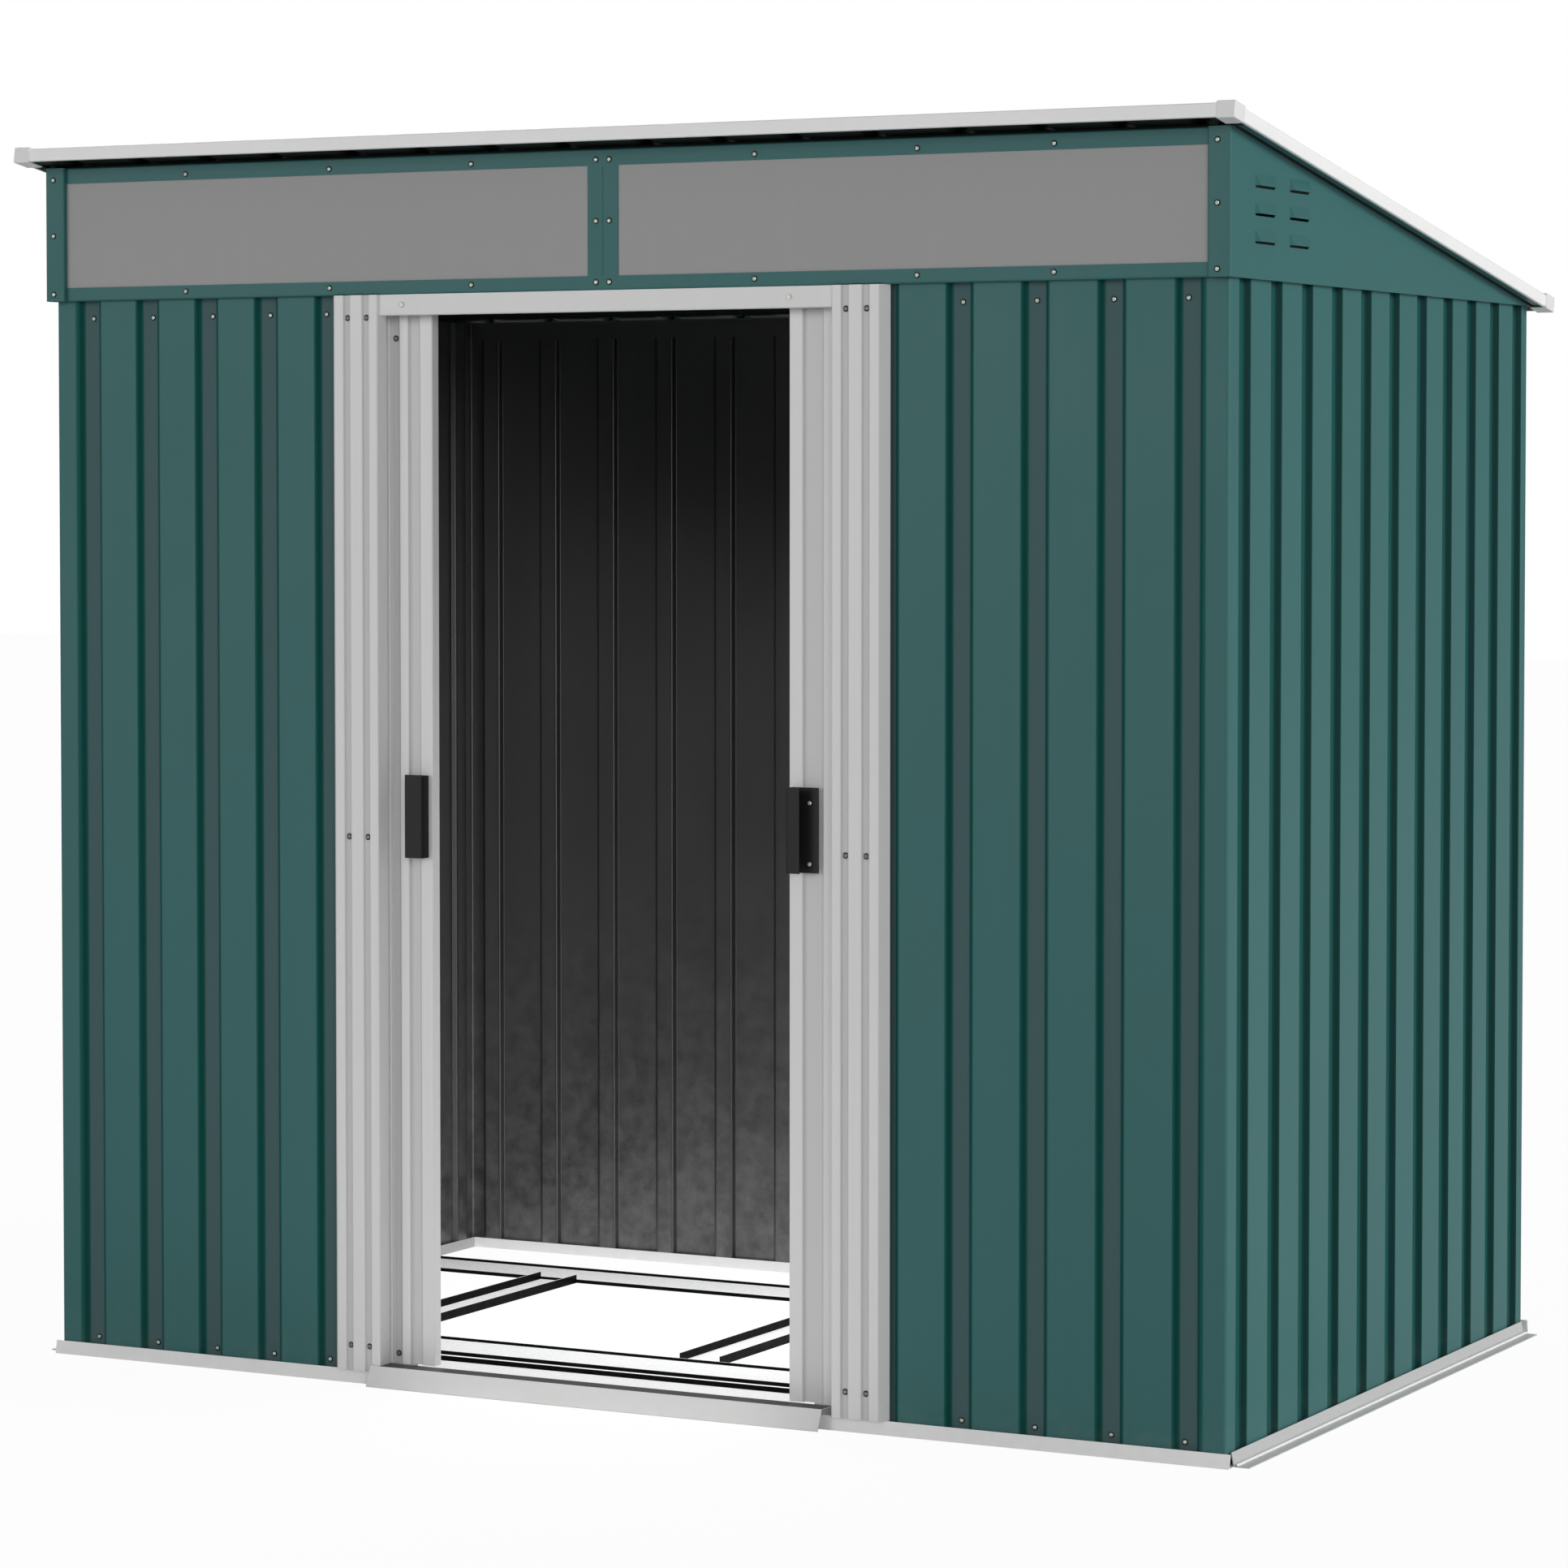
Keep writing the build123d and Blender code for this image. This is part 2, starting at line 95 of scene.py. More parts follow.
# Heights of the screws, or distances from the lower end, which is the ground for the walls, and the upper end
JAMB_SCREW_Z = (0.0575, 0.8195, 1.590)
WALL_SCREW_ENDS = (0.029, 0.029)
STRIP_SCREW_ENDS = (0.0115, 0.0153)
LEAF_SCREW_ENDS = (0.014, 0.055)
HANDLE_SCREW_ENDS = (0.013, 0.022)

# Screws from the outer edges of the stiles, below the strip's rows, and from the edge of a handle's base
STILE_SCREW_IN = (0.015, 0.0193)
STILE_SCREW_DROPS = (0.001, 0.0, 0.003)
HANDLE_SCREW_IN = 0.0134

# Rings of a screw's head as shares of its radius, the slots' share of their depth there, and the rim's drop
HEAD_RINGS = (1.0, 0.72, 0.38)
SLOT_SHARES = (0.0, 0.2, 1.0)
RIM_DROP = 0.6

# Width of the camera's frame in mm
SENSOR_WIDTH = 36.0


def size(name, description, default):
    """Length that a user may change."""
    return FloatProperty(name=name, description=description, default=default, unit="LENGTH", precision=4)


def colour(name, description, default):
    """Colour that a user may change, in linear values."""
    return FloatVectorProperty(
        name=name, description=description, default=default, subtype="COLOR", min=0, max=1
    )


def number(name, description, default, subtype="NONE"):
    """Plain value that a user may change."""
    return FloatProperty(name=name, description=description, default=default, subtype=subtype)


def vector(name, description, default, subtype="XYZ"):
    """Two or three values that a user may change together."""
    return FloatVectorProperty(
        name=name, description=description, default=default, size=len(default), subtype=subtype
    )


class ShedSheetSizes(PropertyGroup):
    """Folds and ribs of the wall and roof sheets."""

    thickness: size("Thickness", "Thickness of every sheet", 0.001)
    bend: size("Bend", "Radius of the ribs' bends", 0.0028)
    bend_steps: IntProperty(name="Bend steps", description="Faces round each bend", default=4, min=1)
    # Painted shade: the darker line beside each bend of the wall sheets
    edge_line: size("Edge line", "Width of the darker line beside each bend", 0.002)
    corner_bend: size("Corner bend", "Radius of the bend round a corner of the shed", 0.005)
    corner_return: size("Corner return", "Width of the side sheets' fold onto the front", 0.030)
    back_return: size("Back return", "Width of the side sheets' fold onto the back", 0.022)
    groove_width: size("Groove width", "Width of a wall groove at its mouth", 0.0385)
    groove_depth: size("Groove depth", "Depth of a wall groove", 0.0085)
    groove_slope: size("Groove slope", "Width of a wall groove's sloping side", 0.004)
    pitch: size("Pitch", "Step from groove to groove", 0.1154)
    front_right_first: size("First groove, right", "From the right corner to the first front groove", 0.0587)
    front_left_first: size("First groove, left", "From the left corner to the first front groove", 0.060)
    front_left_pitch: size("Left pitch", "Step from groove to groove on the front's left sheet", 0.1075)
    side_first: size("First side groove", "From the front to the first side groove", 0.0558)
    side_rear_first: size("First rear groove", "From the side seam to the next groove", 0.0608)
    side_rear_pitch: size("Rear pitch", "Step from groove to groove behind the side seam", 0.1045)
    roof_pitch: size("Roof rib step", "Step from rib to rib on the roof", 0.121)
    roof_rib_width: size("Roof rib width", "Width of a roof rib at its foot", 0.030)
    roof_rib_height: size("Roof rib height", "Height of a roof rib", 0.009)
    roof_rib_slope: size("Roof rib slope", "Width of a roof rib's sloping side", 0.006)
    gable_proud: size("Gable proud", "How far a gable stands out from the side wall", 0.008)
    soffit_gap: size("Soffit gap", "From a gable out to the strip under the roof's edge", 0.002)
    soffit_depth: size("Soffit depth", "Depth of that strip below the roof sheets", 0.006)
    seal_top: size("Seal top", "Depth of the top of a gable's seal below the roof sheets", 0.004)
    seal_foot: size("Seal foot", "Depth of the foot of a gable's seal below the roof sheets", 0.0082)
    seal_proud: size("Seal proud", "How far a gable's seal stands out from the gable", 0.001)
    bead_out: size("Bead out", "From the side wall out to a bead on the base rail's foot", 0.0086)
    bead_foot: size("Bead foot", "Height of a bead's foot", 0.0013)
    bead_width: size("Bead width", "Width of a bead", 0.003)
    bead_height: size("Bead height", "Height of a bead above the foot", 0.0022)
    trim_above: size("Trim above", "Height of an edge trim above the roof sheets' underside", 0.012)
    trim_below: size("Trim below", "Depth of an edge trim below the roof sheets' underside", 0.008)
    trim_top_flange: size("Trim top", "Width of an edge trim's top", 0.026)
    trim_bottom_flange: size("Trim bottom", "Width of an edge trim's lower fold", 0.005)


class ShedDoorSizes(PropertyGroup):
    """Jambs, leaves and handles of the doorway."""

    jamb_edge_ridge: size("Jamb edge ridge", "Width of a jamb's outer ridges", 0.0145)
    jamb_middle_ridge: size("Jamb middle ridge", "Width of a jamb's middle ridge", 0.0197)
    jamb_groove_width: size("Jamb groove", "Width of a jamb's grooves", 0.013)
    jamb_groove_depth: size("Jamb groove depth", "Depth of a jamb's grooves", 0.005)
    jamb_groove_slope: size("Jamb groove slope", "Width of a jamb groove's sloping side", 0.003)
    jamb_outer_slope: size("Jamb outer slope", "Width of the slope from a jamb down to the wall", 0.011)
    jamb_proud: size("Jamb proud", "How far the jambs stand out from the wall", 0.0154)
    jamb_back_flange: size("Jamb back flange", "Fold behind a jamb's inner edge", 0.025)
    # Painted shade: the darker line beside each bend of the jambs and leaves, and the crest where it starts
    edge_line: size("Edge line", "Width of the darker line beside each bend", 0.0012)
    crest: number("Crest", "Share of a white groove's depth at which its darker sides start", 0.25, "FACTOR")
    leaf_groove_depth: size("Leaf groove depth", "Depth of a leaf's grooves", 0.006)
    leaf_groove_slope: size("Leaf groove slope", "Width of a leaf groove's sloping side", 0.003)
    leaf_edge_flange: size("Leaf edge flange", "Fold behind a leaf's edges", 0.008)
    handle_sheet: size("Handle thickness", "Thickness of a handle's walls", 0.002)
    handle_base: size("Handle base", "Width of a handle's base on the leaf", 0.042)
    left_handle_lip: size("Left handle lip", "Width of the left handle's lip", 0.029)
    right_handle_lip: size("Right handle lip", "Width of the right handle's lip", 0.022)
    handle_bend: size("Handle bend", "Radius of a handle's bends", 0.004)


class ShedScrewSizes(PropertyGroup):
    """Domed screws and their washers."""

    head_radius: size("Head radius", "Radius of a screw's head", 0.0030)
    head_height: size("Head height", "Height of a screw's head above its washer", 0.0020)
    washer_radius: size("Washer radius", "Radius of the washer", 0.0046)
    washer_height: size("Washer height", "Height of the washer", 0.0008)
    recess: size("Recess", "Depth of the crossed slots in a head", 0.0008)
    sides: IntProperty(name="Sides", description="Faces round a screw", default=12, min=8)


class ShedColours(PropertyGroup):
    """Colours of the finishes, as they look under white light."""

    green: colour("Green", "Enamel of the walls and roof", (0.036, 0.143, 0.140))
    # Painted shade, darkening the green ribs' steep sides
    green_rib_side_shade: colour("Pressed sides", "Enamel on the green ribs' steep sides", (0.002, 0.075, 0.062))
    # Painted grey reflection on the groove floors of the front green sheets
    groove_floor_reflection: colour("Groove floors", "Enamel dulled by what settles in the grooves", (0.078, 0.125, 0.132))
    # Painted shade on the steep rib sides and the groove floors at the sides and back
    side_rib_shade: colour("Deep sides", "Enamel on steep sides at the sides and back", (0.001, 0.030, 0.027))
    side_groove_shade: colour("Side grooves", "Enamel on groove floors at the sides and back", (0.008, 0.075, 0.067))
    # Painted shade on the steep sides and groove floors of the white jambs and leaves
    white_rib_side_shade: colour("White pressed sides", "Enamel on the white ribs' steep sides", (0.60, 0.60, 0.60))
    white_groove_shade: colour("White groove floors", "Enamel dulled in the white grooves", (0.62, 0.62, 0.62))
    # Painted shade: near-black coating under the roof sheets and on the roof beams
    soffit_shade: colour("Soffit", "Coating under the roof sheets", (0.010, 0.016, 0.015))
    lining: colour("Lining", "Coating inside the sheets", (0.032, 0.032, 0.033))
    # Painted reflection of the floor, low on the inner side of the sheets
    low_floor_reflection: colour("Haze", "Grey dust low on the inner side of the sheets", (0.36, 0.36, 0.355))
    white: colour("White", "Enamel of the trims, beads and front and back rails", (0.93, 0.93, 0.925))
    # Painted shade: the side rails' upright faces are darker than their feet, which get the door white
    rail: colour("Side rails", "White on the upright faces of the side rails", (0.56, 0.56, 0.56))
    door: colour("Door white", "Enamel of the doorway, leaves and side rails", (0.785, 0.785, 0.782))
    zinc: colour("Zinc", "Galvanised steel", (0.88, 0.885, 0.89))
    # Painted shade on the sill's top
    sill_top_shade: colour("Sill top", "Worn top of the sill", (0.07, 0.07, 0.07))
    shade: colour("Shade", "Upright flanges of the channels, and the lining's folds", (0.004, 0.004, 0.004))
    window: colour("Window", "Grey window sheets", (0.36, 0.36, 0.36))
    plastic: colour("Handle", "Moulded plastic of the handles", (0.008, 0.008, 0.0085))
    glide: colour("Glide", "Plastic of the glides", (0.62, 0.62, 0.60))
    cap: colour("Cap", "Plastic of the roof's corner caps", (0.84, 0.84, 0.84))
    head: colour("Screw head", "Plated screw heads", (0.62, 0.70, 0.62))
    dull_head: colour("Dull screw head", "Dull screw heads on the white pieces", (0.28, 0.28, 0.25))
    washer: colour("Washer", "Rubber washers and seals", (0.012, 0.012, 0.012))
    dust: colour("Dust", "Pale dust near the ground", (0.42, 0.40, 0.36))
    floor: colour("Floor", "Studio floor", (0.9, 0.9, 0.9))


class ShedStudio(PropertyGroup):
    """Camera, lamps and floor."""

    camera_place: vector("Camera", "Place of the camera", (3.5303, -6.8042, 1.3388), "TRANSLATION")
    camera_turn: vector(
        "Camera turn", "Turn of the camera", (math.radians(90 - 2.229), 0.0, math.radians(27.698)), "EULER"
    )
    lens: number("Lens", "Focal length in mm on a 36 mm wide frame", 113.18)
    shift: vector("Shift", "Shift of the picture, as a share of its width", (0.00726, -0.0667), "NONE")
    view_reach: size("View reach", "How far the camera sees", 200.0)
    key: number("Key", "Strength of the soft lamp on the right", 1.78)
    key_from: vector("Key from", "Where the right lamp shines from", (0.93, 0.22, 0.28))
    fill: number("Fill", "Strength of the soft lamp in front", 0.56)
    fill_from: vector("Fill from", "Where the front lamp shines from", (-0.45, -0.88, 0.16))
    side_fill: number("Side fill", "Strength of the second lamp in front", 0.66)
    side_fill_from: vector("Side fill from", "Where the second front lamp shines from", (0.58, -0.80, 0.22))
    rear: number("Rear", "Strength of the soft lamp behind", 0.9)
    rear_from: vector("Rear from", "Where the lamp behind shines from", (-0.62, 0.60, 0.42))
    lamp_angle: number("Lamp angle", "Angle that each soft lamp fills", math.radians(24), "ANGLE")
    inside: number("Inside", "Power of the lamp under the roof, in watts", 14.0)
    inside_shares: vector("Inside shares", "That lamp's size, as shares of the walls'", (0.8, 0.6), "NONE")
    inside_spread: number("Inside spread", "Angle of that lamp's beam", math.radians(100), "ANGLE")
    inside_drop: size("Inside drop", "From the top of the front wall down to that lamp", 0.03)
    room: number("Room", "Brightness of the room round the shed", 0.2)
    floor_glow: number("Floor glow", "Share of the floor that shows plain white", 0.96, "FACTOR")
    gloss: number("Gloss", "Share of the white background that reflections show", 0.1, "FACTOR")
    floor_reach: size("Floor reach", "Half the width of the studio floor", 30.0)


# Shapes


def bent_line(corners, radius, steps):
    """Folded line whose inner corners are bent to arcs.

    A corner between two runs with a turn t gets an arc of the radius r that starts r * tan(t / 2) before it
    and is tangent to both runs; r is cut where a run is too short. Returns the points and, at each, the
    direction to the line's left.
    """
    corners = np.asarray(corners, dtype=float)
    runs = np.diff(corners, axis=0)
    lengths = np.linalg.norm(runs, axis=1)
    runs = runs / lengths[:, None]
    before, after = runs[:-1], runs[1:]
    turn = np.arctan2(before[:, 0] * after[:, 1] - before[:, 1] * after[:, 0], (before * after).sum(axis=1))
    tangent = np.tan(np.abs(turn) / 2)
    setback = np.minimum(radius * tangent, BEND_SHARE * np.minimum(lengths[:-1], lengths[1:]))
    bend = (np.sign(turn) * setback / tangent)[:, None]
    heading = np.arctan2(runs[:, 1], runs[:, 0])
    angle = heading[:-1, None] + turn[:, None] * np.linspace(0, 1, steps + 1)
    first = corners[1:-1] - before * setback[:, None]
    across = first[:, :1] + bend * (np.sin(angle) - np.sin(heading[:-1, None]))
    inward = first[:, 1:] - bend * (np.cos(angle) - np.cos(heading[:-1, None]))
    arcs = np.stack([across, inward], axis=-1).reshape(-1, 2)
    points = np.vstack([corners[:1], arcs, corners[-1:]])
    headings = np.concatenate([heading[:1], angle.ravel(), heading[-1:]])
    return points, np.column_stack([-np.sin(headings), np.cos(headings)])


def ribbed_line(start, places, end, width, depth, slope):
    """Straight line along the first axis with a trapezoid of that width and depth at each place."""
    places = np.asarray(places, dtype=float)
    offsets = np.array([-width / 2, slope - width / 2, width / 2 - slope, width / 2])
    along = (places[:, None] + offsets).ravel()
    inward = np.tile([0.0, depth, depth, 0.0], len(places))
    return np.vstack([[start, 0.0], np.column_stack([along, inward]), [end, 0.0]])


def edged_line(line, reach):
    """The line with two more points on each long run, that far from its ends."""
    points, left = line
    runs = np.diff(points, axis=0)
    lengths = np.linalg.norm(runs, axis=1)
    long = np.flatnonzero(lengths > LONG_RUN * reach)
    inset = runs[long] * (reach / lengths[long])[:, None]
    places = np.repeat(long + 1, 2)
    extra = np.stack([points[long] + inset, points[long + 1] - inset], axis=1).reshape(-1, 2)
    same = np.repeat(left[long], 2, axis=0)
    return np.insert(points, places, extra, axis=0), np.insert(left, places, same, axis=0)


def rib_fields(line, depth, reach, crest=0.0):
    """Values along an edged, ribbed line, where the finishes paint light and shade: 1 on the groove floors,
    and 1 on the bends and sides between.

    The sides start at a share of the depth, the crest. Only the stretch from the first groove to the last
    counts, so that a sheet's folded edges stay plain.
    """
    along, inward = line[0].T
    floor = np.abs(inward - depth) < FLOOR_SLACK * depth
    near = np.ptp(along[floor]) / 2 + RIB_MARGIN * reach
    ribbed = np.abs(along - (along[floor].min() + along[floor].max()) / 2) < near
    gaps = np.linalg.norm(np.diff(line[0], axis=0), axis=1)
    beside = np.concatenate([[np.inf], gaps]) > LONG_RUN * reach
    beyond = np.concatenate([gaps, [np.inf]]) > LONG_RUN * reach
    plain = beside | beyond | (inward < crest * depth)
    return {"groove": np.tile(floor * ribbed, 4), "fold": np.tile(~plain * ribbed, 4)}


def folded_sheet(line, thickness, axes, low, high):
    """Thin sheet: the bent line P(s) and its copy P(s) + thickness * left(s), both carried from low to high.

    A point (u, v) of the line at the height w lies at origin + U * u + V * v + W * w, where axes holds the
    origin, U, V and W. Returns the vertices, quads, normals at the quads' corners and each quad's side, which
    is 0 on the line and 1 on its copy and the edges.
    """
    points, left = line
    origin, u_axis, v_axis, w_axis = (np.asarray(axis, dtype=float) for axis in axes)
    count = len(points)
    plane = np.stack([u_axis, v_axis])
    normals = left @ plane
    outer = origin + points @ plane
    inner = outer + normals * thickness
    vertices = np.vstack([row + w_axis * level for row in (outer, inner) for level in (low, high)])
    a, b, c, d = np.arange(4 * count).reshape(4, count)
    now, after = slice(None, -1), slice(1, None)
    quads = np.vstack([
        np.column_stack([a[now], a[after], b[after], b[now]]),
        np.column_stack([c[after], c[now], d[now], d[after]]),
        np.column_stack([a[after], a[now], c[now], c[after]]),
        np.column_stack([b[now], b[after], d[after], d[now]]),
        [[a[0], b[0], d[0], c[0]], [a[-1], c[-1], d[-1], b[-1]]],
    ])
    first, last = normals[now], normals[after]
    up = np.broadcast_to(w_axis, (count - 1, 4, 3))
    tips = np.stack([outer[0] - outer[1], outer[-1] - outer[-2]])
    tips = tips / np.linalg.norm(tips, axis=1)[:, None]
    corner_normals = np.concatenate([
        -np.stack([first, last, last, first], axis=1),
        np.stack([last, first, first, last], axis=1),
        -up,
        up,
        np.repeat(tips[:, None], 4, axis=1),
    ])
    if np.dot(np.cross(u_axis, w_axis), v_axis) > 0:
        quads = quads[:, ::-1]
        corner_normals = corner_normals[:, ::-1]
    side = np.repeat([0, 1], [count - 1, len(quads) - count + 1])
    return vertices, quads, corner_normals, side


def joined(shapes):
    """Several shapes as one: their arrays end to end, with the quads' numbers moved on."""
    vertices, quads, corner_normals, side = zip(*shapes)
    starts = np.cumsum([0] + [len(part) for part in vertices[:-1]])
    quads = [part + start for part, start in zip(quads, starts)]
    return tuple(np.concatenate(parts) for parts in (vertices, quads, corner_normals, side))


def add_object(name, data):
    """New object of that data in the scene."""
    made = bpy.data.objects.new(name, data)
    bpy.context.scene.collection.objects.link(made)
    return made


def piece(name, shape, finishes, body, slot, *replaced, fields=None):
    """Object of a shape, with a finish for each side, riding on a body in place of CAD nodes.

    Fields are named values at the vertices that a material reads.
    """
    vertices, quads, corner_normals, side = shape
    mesh = bpy.data.meshes.new(name)
    mesh.from_pydata(vertices, [], quads.tolist())
    for label in finishes:
        mesh.materials.append(finish(label))
    mesh.polygons.foreach_set("material_index", np.minimum(side, len(finishes) - 1).astype(np.int32))
    mesh.polygons.foreach_set("use_smooth", np.ones(len(quads), dtype=bool))
    mesh.update()
    mesh.normals_split_custom_set(corner_normals.reshape(-1, 3))
    for label, values in (fields or {}).items():
        mesh.attributes.new(label, "FLOAT", "POINT").data.foreach_set("value", values.astype(np.float32))
    made = add_object(name, mesh)
    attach(made, body)
    if replaced:
        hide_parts(*replaced)


def dress(label, *nodes):
    """Puts a finish on CAD nodes that keep their shape."""
    for name in nodes:
        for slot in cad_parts[name].material_slots:
            slot.material = finish(label)


# Shader nodes


def feed(tree, target, value):
    """Links an input to a socket, or gives it a value; a colour is made opaque."""
    if isinstance(value, NodeSocket):
        tree.links.new(value, target)
    elif target.type == "RGBA":
        target.default_value = (*value[:3], 1.0)
    else:
        target.default_value = value


def feed_all(tree, targets, **values):
    """Feeds inputs that the keywords name, with _ for a space."""
    for key, value in values.items():
        feed(tree, targets[key.replace("_", " ")], value)


def add_node(tree, kind, settings=None, **values):
    """New node with its settings, and with values or sockets for its inputs."""
    made = tree.nodes.new(kind)
    for key, value in (settings or {}).items():
        setattr(made, key, value)
    feed_all(tree, made.inputs, **values)
    return made


def mixed(tree, share, first, second):
    """Colour between two colours or sockets."""
    made = add_node(tree, "ShaderNodeMix", {"data_type": "RGBA"})
    for index, value in ((0, share), (6, first), (7, second)):
        feed(tree, made.inputs[index], value)
    return made.outputs[2]


def worked(tree, operation, first, second):
    """Result of an operation on two values or sockets."""
    made = add_node(tree, "ShaderNodeMath", {"operation": operation})
    for target, value in zip(made.inputs, (first, second)):
        feed(tree, target, value)
    return made.outputs[0]


def spread(tree, value, low, high, new_low, new_high):
    """A value's range moved to a new one, and held there."""
    made = add_node(
        tree, "ShaderNodeMapRange", Value=value, From_Min=low, From_Max=high, To_Min=new_low, To_Max=new_high
    )
    return made.outputs[0]


def noise(tree, place, scale, detail, roughness=0.5):
    """Noise of that scale at a place."""
    made = add_node(tree, "ShaderNodeTexNoise", Vector=place, Scale=scale, Detail=detail, Roughness=roughness)
    return made.outputs["Fac"]


def group(name, inputs, outputs):
    """Empty shader node group with its sockets, of kinds that their names tell, and its input and output."""
    kinds = {"Vector": "NodeSocketVector", "Normal": "NodeSocketVector", "Colour": "NodeSocketColor"}
    tree = bpy.data.node_groups.new(name, "ShaderNodeTree")
    for label, default in {"Vector": (0.0, 0.0, 0.0), **inputs}.items():
        kind = kinds.get(label, "NodeSocketFloat")
        tree.interface.new_socket(label, in_out="INPUT", socket_type=kind).default_value = default
    for label in outputs:
        tree.interface.new_socket(label, in_out="OUTPUT", socket_type=kinds.get(label, "NodeSocketFloat"))
    return tree, tree.nodes.new("NodeGroupInput").outputs, tree.nodes.new("NodeGroupOutput").inputs


def tone_group(name):
    """Colour that drifts a little over a surface: slow clouds and faint streaks along the sheet's rise."""
    inputs = {"Colour": (0.5, 0.5, 0.5, 1.0), "Drift": 0.06, "Streaks": 0.04}
    tree, given, out = group(name, inputs, ("Colour", "Cloud"))
    cloud = noise(tree, given["Vector"], 2.6, 4.0, 0.55)
    flattened = add_node(tree, "ShaderNodeMapping", Vector=given["Vector"], Scale=(60.0, 60.0, 1.4))
    streak = noise(tree, flattened.outputs[0], 1.0, 3.0)
    drift = worked(tree, "MULTIPLY", worked(tree, "SUBTRACT", cloud, 0.5), given["Drift"])
    lines = worked(tree, "MULTIPLY", worked(tree, "SUBTRACT", streak, 0.5), given["Streaks"])
    value = worked(tree, "ADD", worked(tree, "ADD", drift, lines), 1.0)
    toned = add_node(tree, "ShaderNodeHueSaturation", Value=value, Color=given["Colour"])
    feed_all(tree, out, Colour=toned.outputs[0], Cloud=cloud)
    return tree


def skin_group(name):
    """Normal of a sprayed or moulded skin: fine grain over a slight waviness, by bump in metres."""
    tree, given, out = group(name, {"Grain scale": 900.0, "Grain": 0.05, "Wave": 0.1}, ("Normal", "Grain"))
    grain = noise(tree, given["Vector"], given["Grain scale"], 2.0)
    wave = noise(tree, given["Vector"], 9.0, 1.0)
    broad = add_node(tree, "ShaderNodeBump", Strength=given["Wave"], Distance=0.004, Height=wave)
    fine = add_node(
        tree, "ShaderNodeBump", Strength=given["Grain"], Distance=0.0004, Height=grain,
        Normal=broad.outputs[0],
    )
    feed_all(tree, out, Normal=fine.outputs[0], Grain=grain)
    return tree


def dust_and_reflection_group(name):
    """Mask that thins out with the height above the ground, broken up by noise: dust on the enamel, and a
    painted reflection of the floor on the lining.
    """
    tree, given, out = group(name, {"Height": 0.12, "Amount": 0.15}, ("Mask",))
    rise = add_node(tree, "ShaderNodeSeparateXYZ", Vector=given["Vector"]).outputs["Z"]
    near = spread(tree, worked(tree, "DIVIDE", rise, given["Height"]), 0.0, 1.0, 1.0, 0.0)
    broken = spread(tree, noise(tree, given["Vector"], 38.0, 5.0, 0.65), 0.35, 0.7, 0.0, 1.0)
    mask = worked(tree, "MULTIPLY", worked(tree, "MULTIPLY", near, near), broken)
    feed_all(tree, out, Mask=worked(tree, "MULTIPLY", mask, given["Amount"]))
    return tree


SHARED_GROUPS = {"Sheet tone": tone_group, "Fine skin": skin_group, "Ground dust and reflection": dust_and_reflection_group}


def placed(tree, name, place, **values):
    """What a shared node group gives in a material; the group is built when it is first asked for."""
    shared = bpy.data.node_groups.get(name) or SHARED_GROUPS[name](name)
    return add_node(tree, "ShaderNodeGroup", {"node_tree": shared}, Vector=place, **values).outputs


# Finishes


def tint(name):
    """One of the finishes' colours."""
    return getattr(bpy.context.scene.shed_colours, name)


def skinned(name, base, drift, streaks, grain):
    """New material with the tone and the skin that all finishes share.

    Grain holds the grain's scale and strength, and the strength of the waviness. Returns the material, its
    tree, the shader's inputs, Object coordinates, and what the tone and the skin give.
    """
    material = bpy.data.materials.new(name)
    material.use_nodes = True
    tree = material.node_tree
    shader = tree.nodes["Principled BSDF"].inputs
    place = add_node(tree, "ShaderNodeTexCoord").outputs["Object"]
    tone = placed(tree, "Sheet tone", place, Colour=tint(base), Drift=drift, Streaks=streaks)
    scale, strength, wave = grain
    skin = placed(tree, "Fine skin", place, Grain_scale=scale, Grain=strength, Wave=wave)
    feed_all(tree, shader, Normal=skin["Normal"])
    return material, tree, shader, place, tone, skin


def field(tree, name):
    """Values at the vertices of a ribbed sheet."""
    return add_node(tree, "ShaderNodeAttribute", {"attribute_name": name}).outputs["Fac"]


def facing_up(tree):
    """Mask of the faces that look up or down, for painted shade on the sill, side rails and channels."""
    facing = add_node(tree, "ShaderNodeTexCoord").outputs["Normal"]
    rise = add_node(tree, "ShaderNodeSeparateXYZ", Vector=facing).outputs["Z"]
    return spread(tree, worked(tree, "ABSOLUTE", rise, 0.0), 0.55, 0.75, 0.0, 1.0)


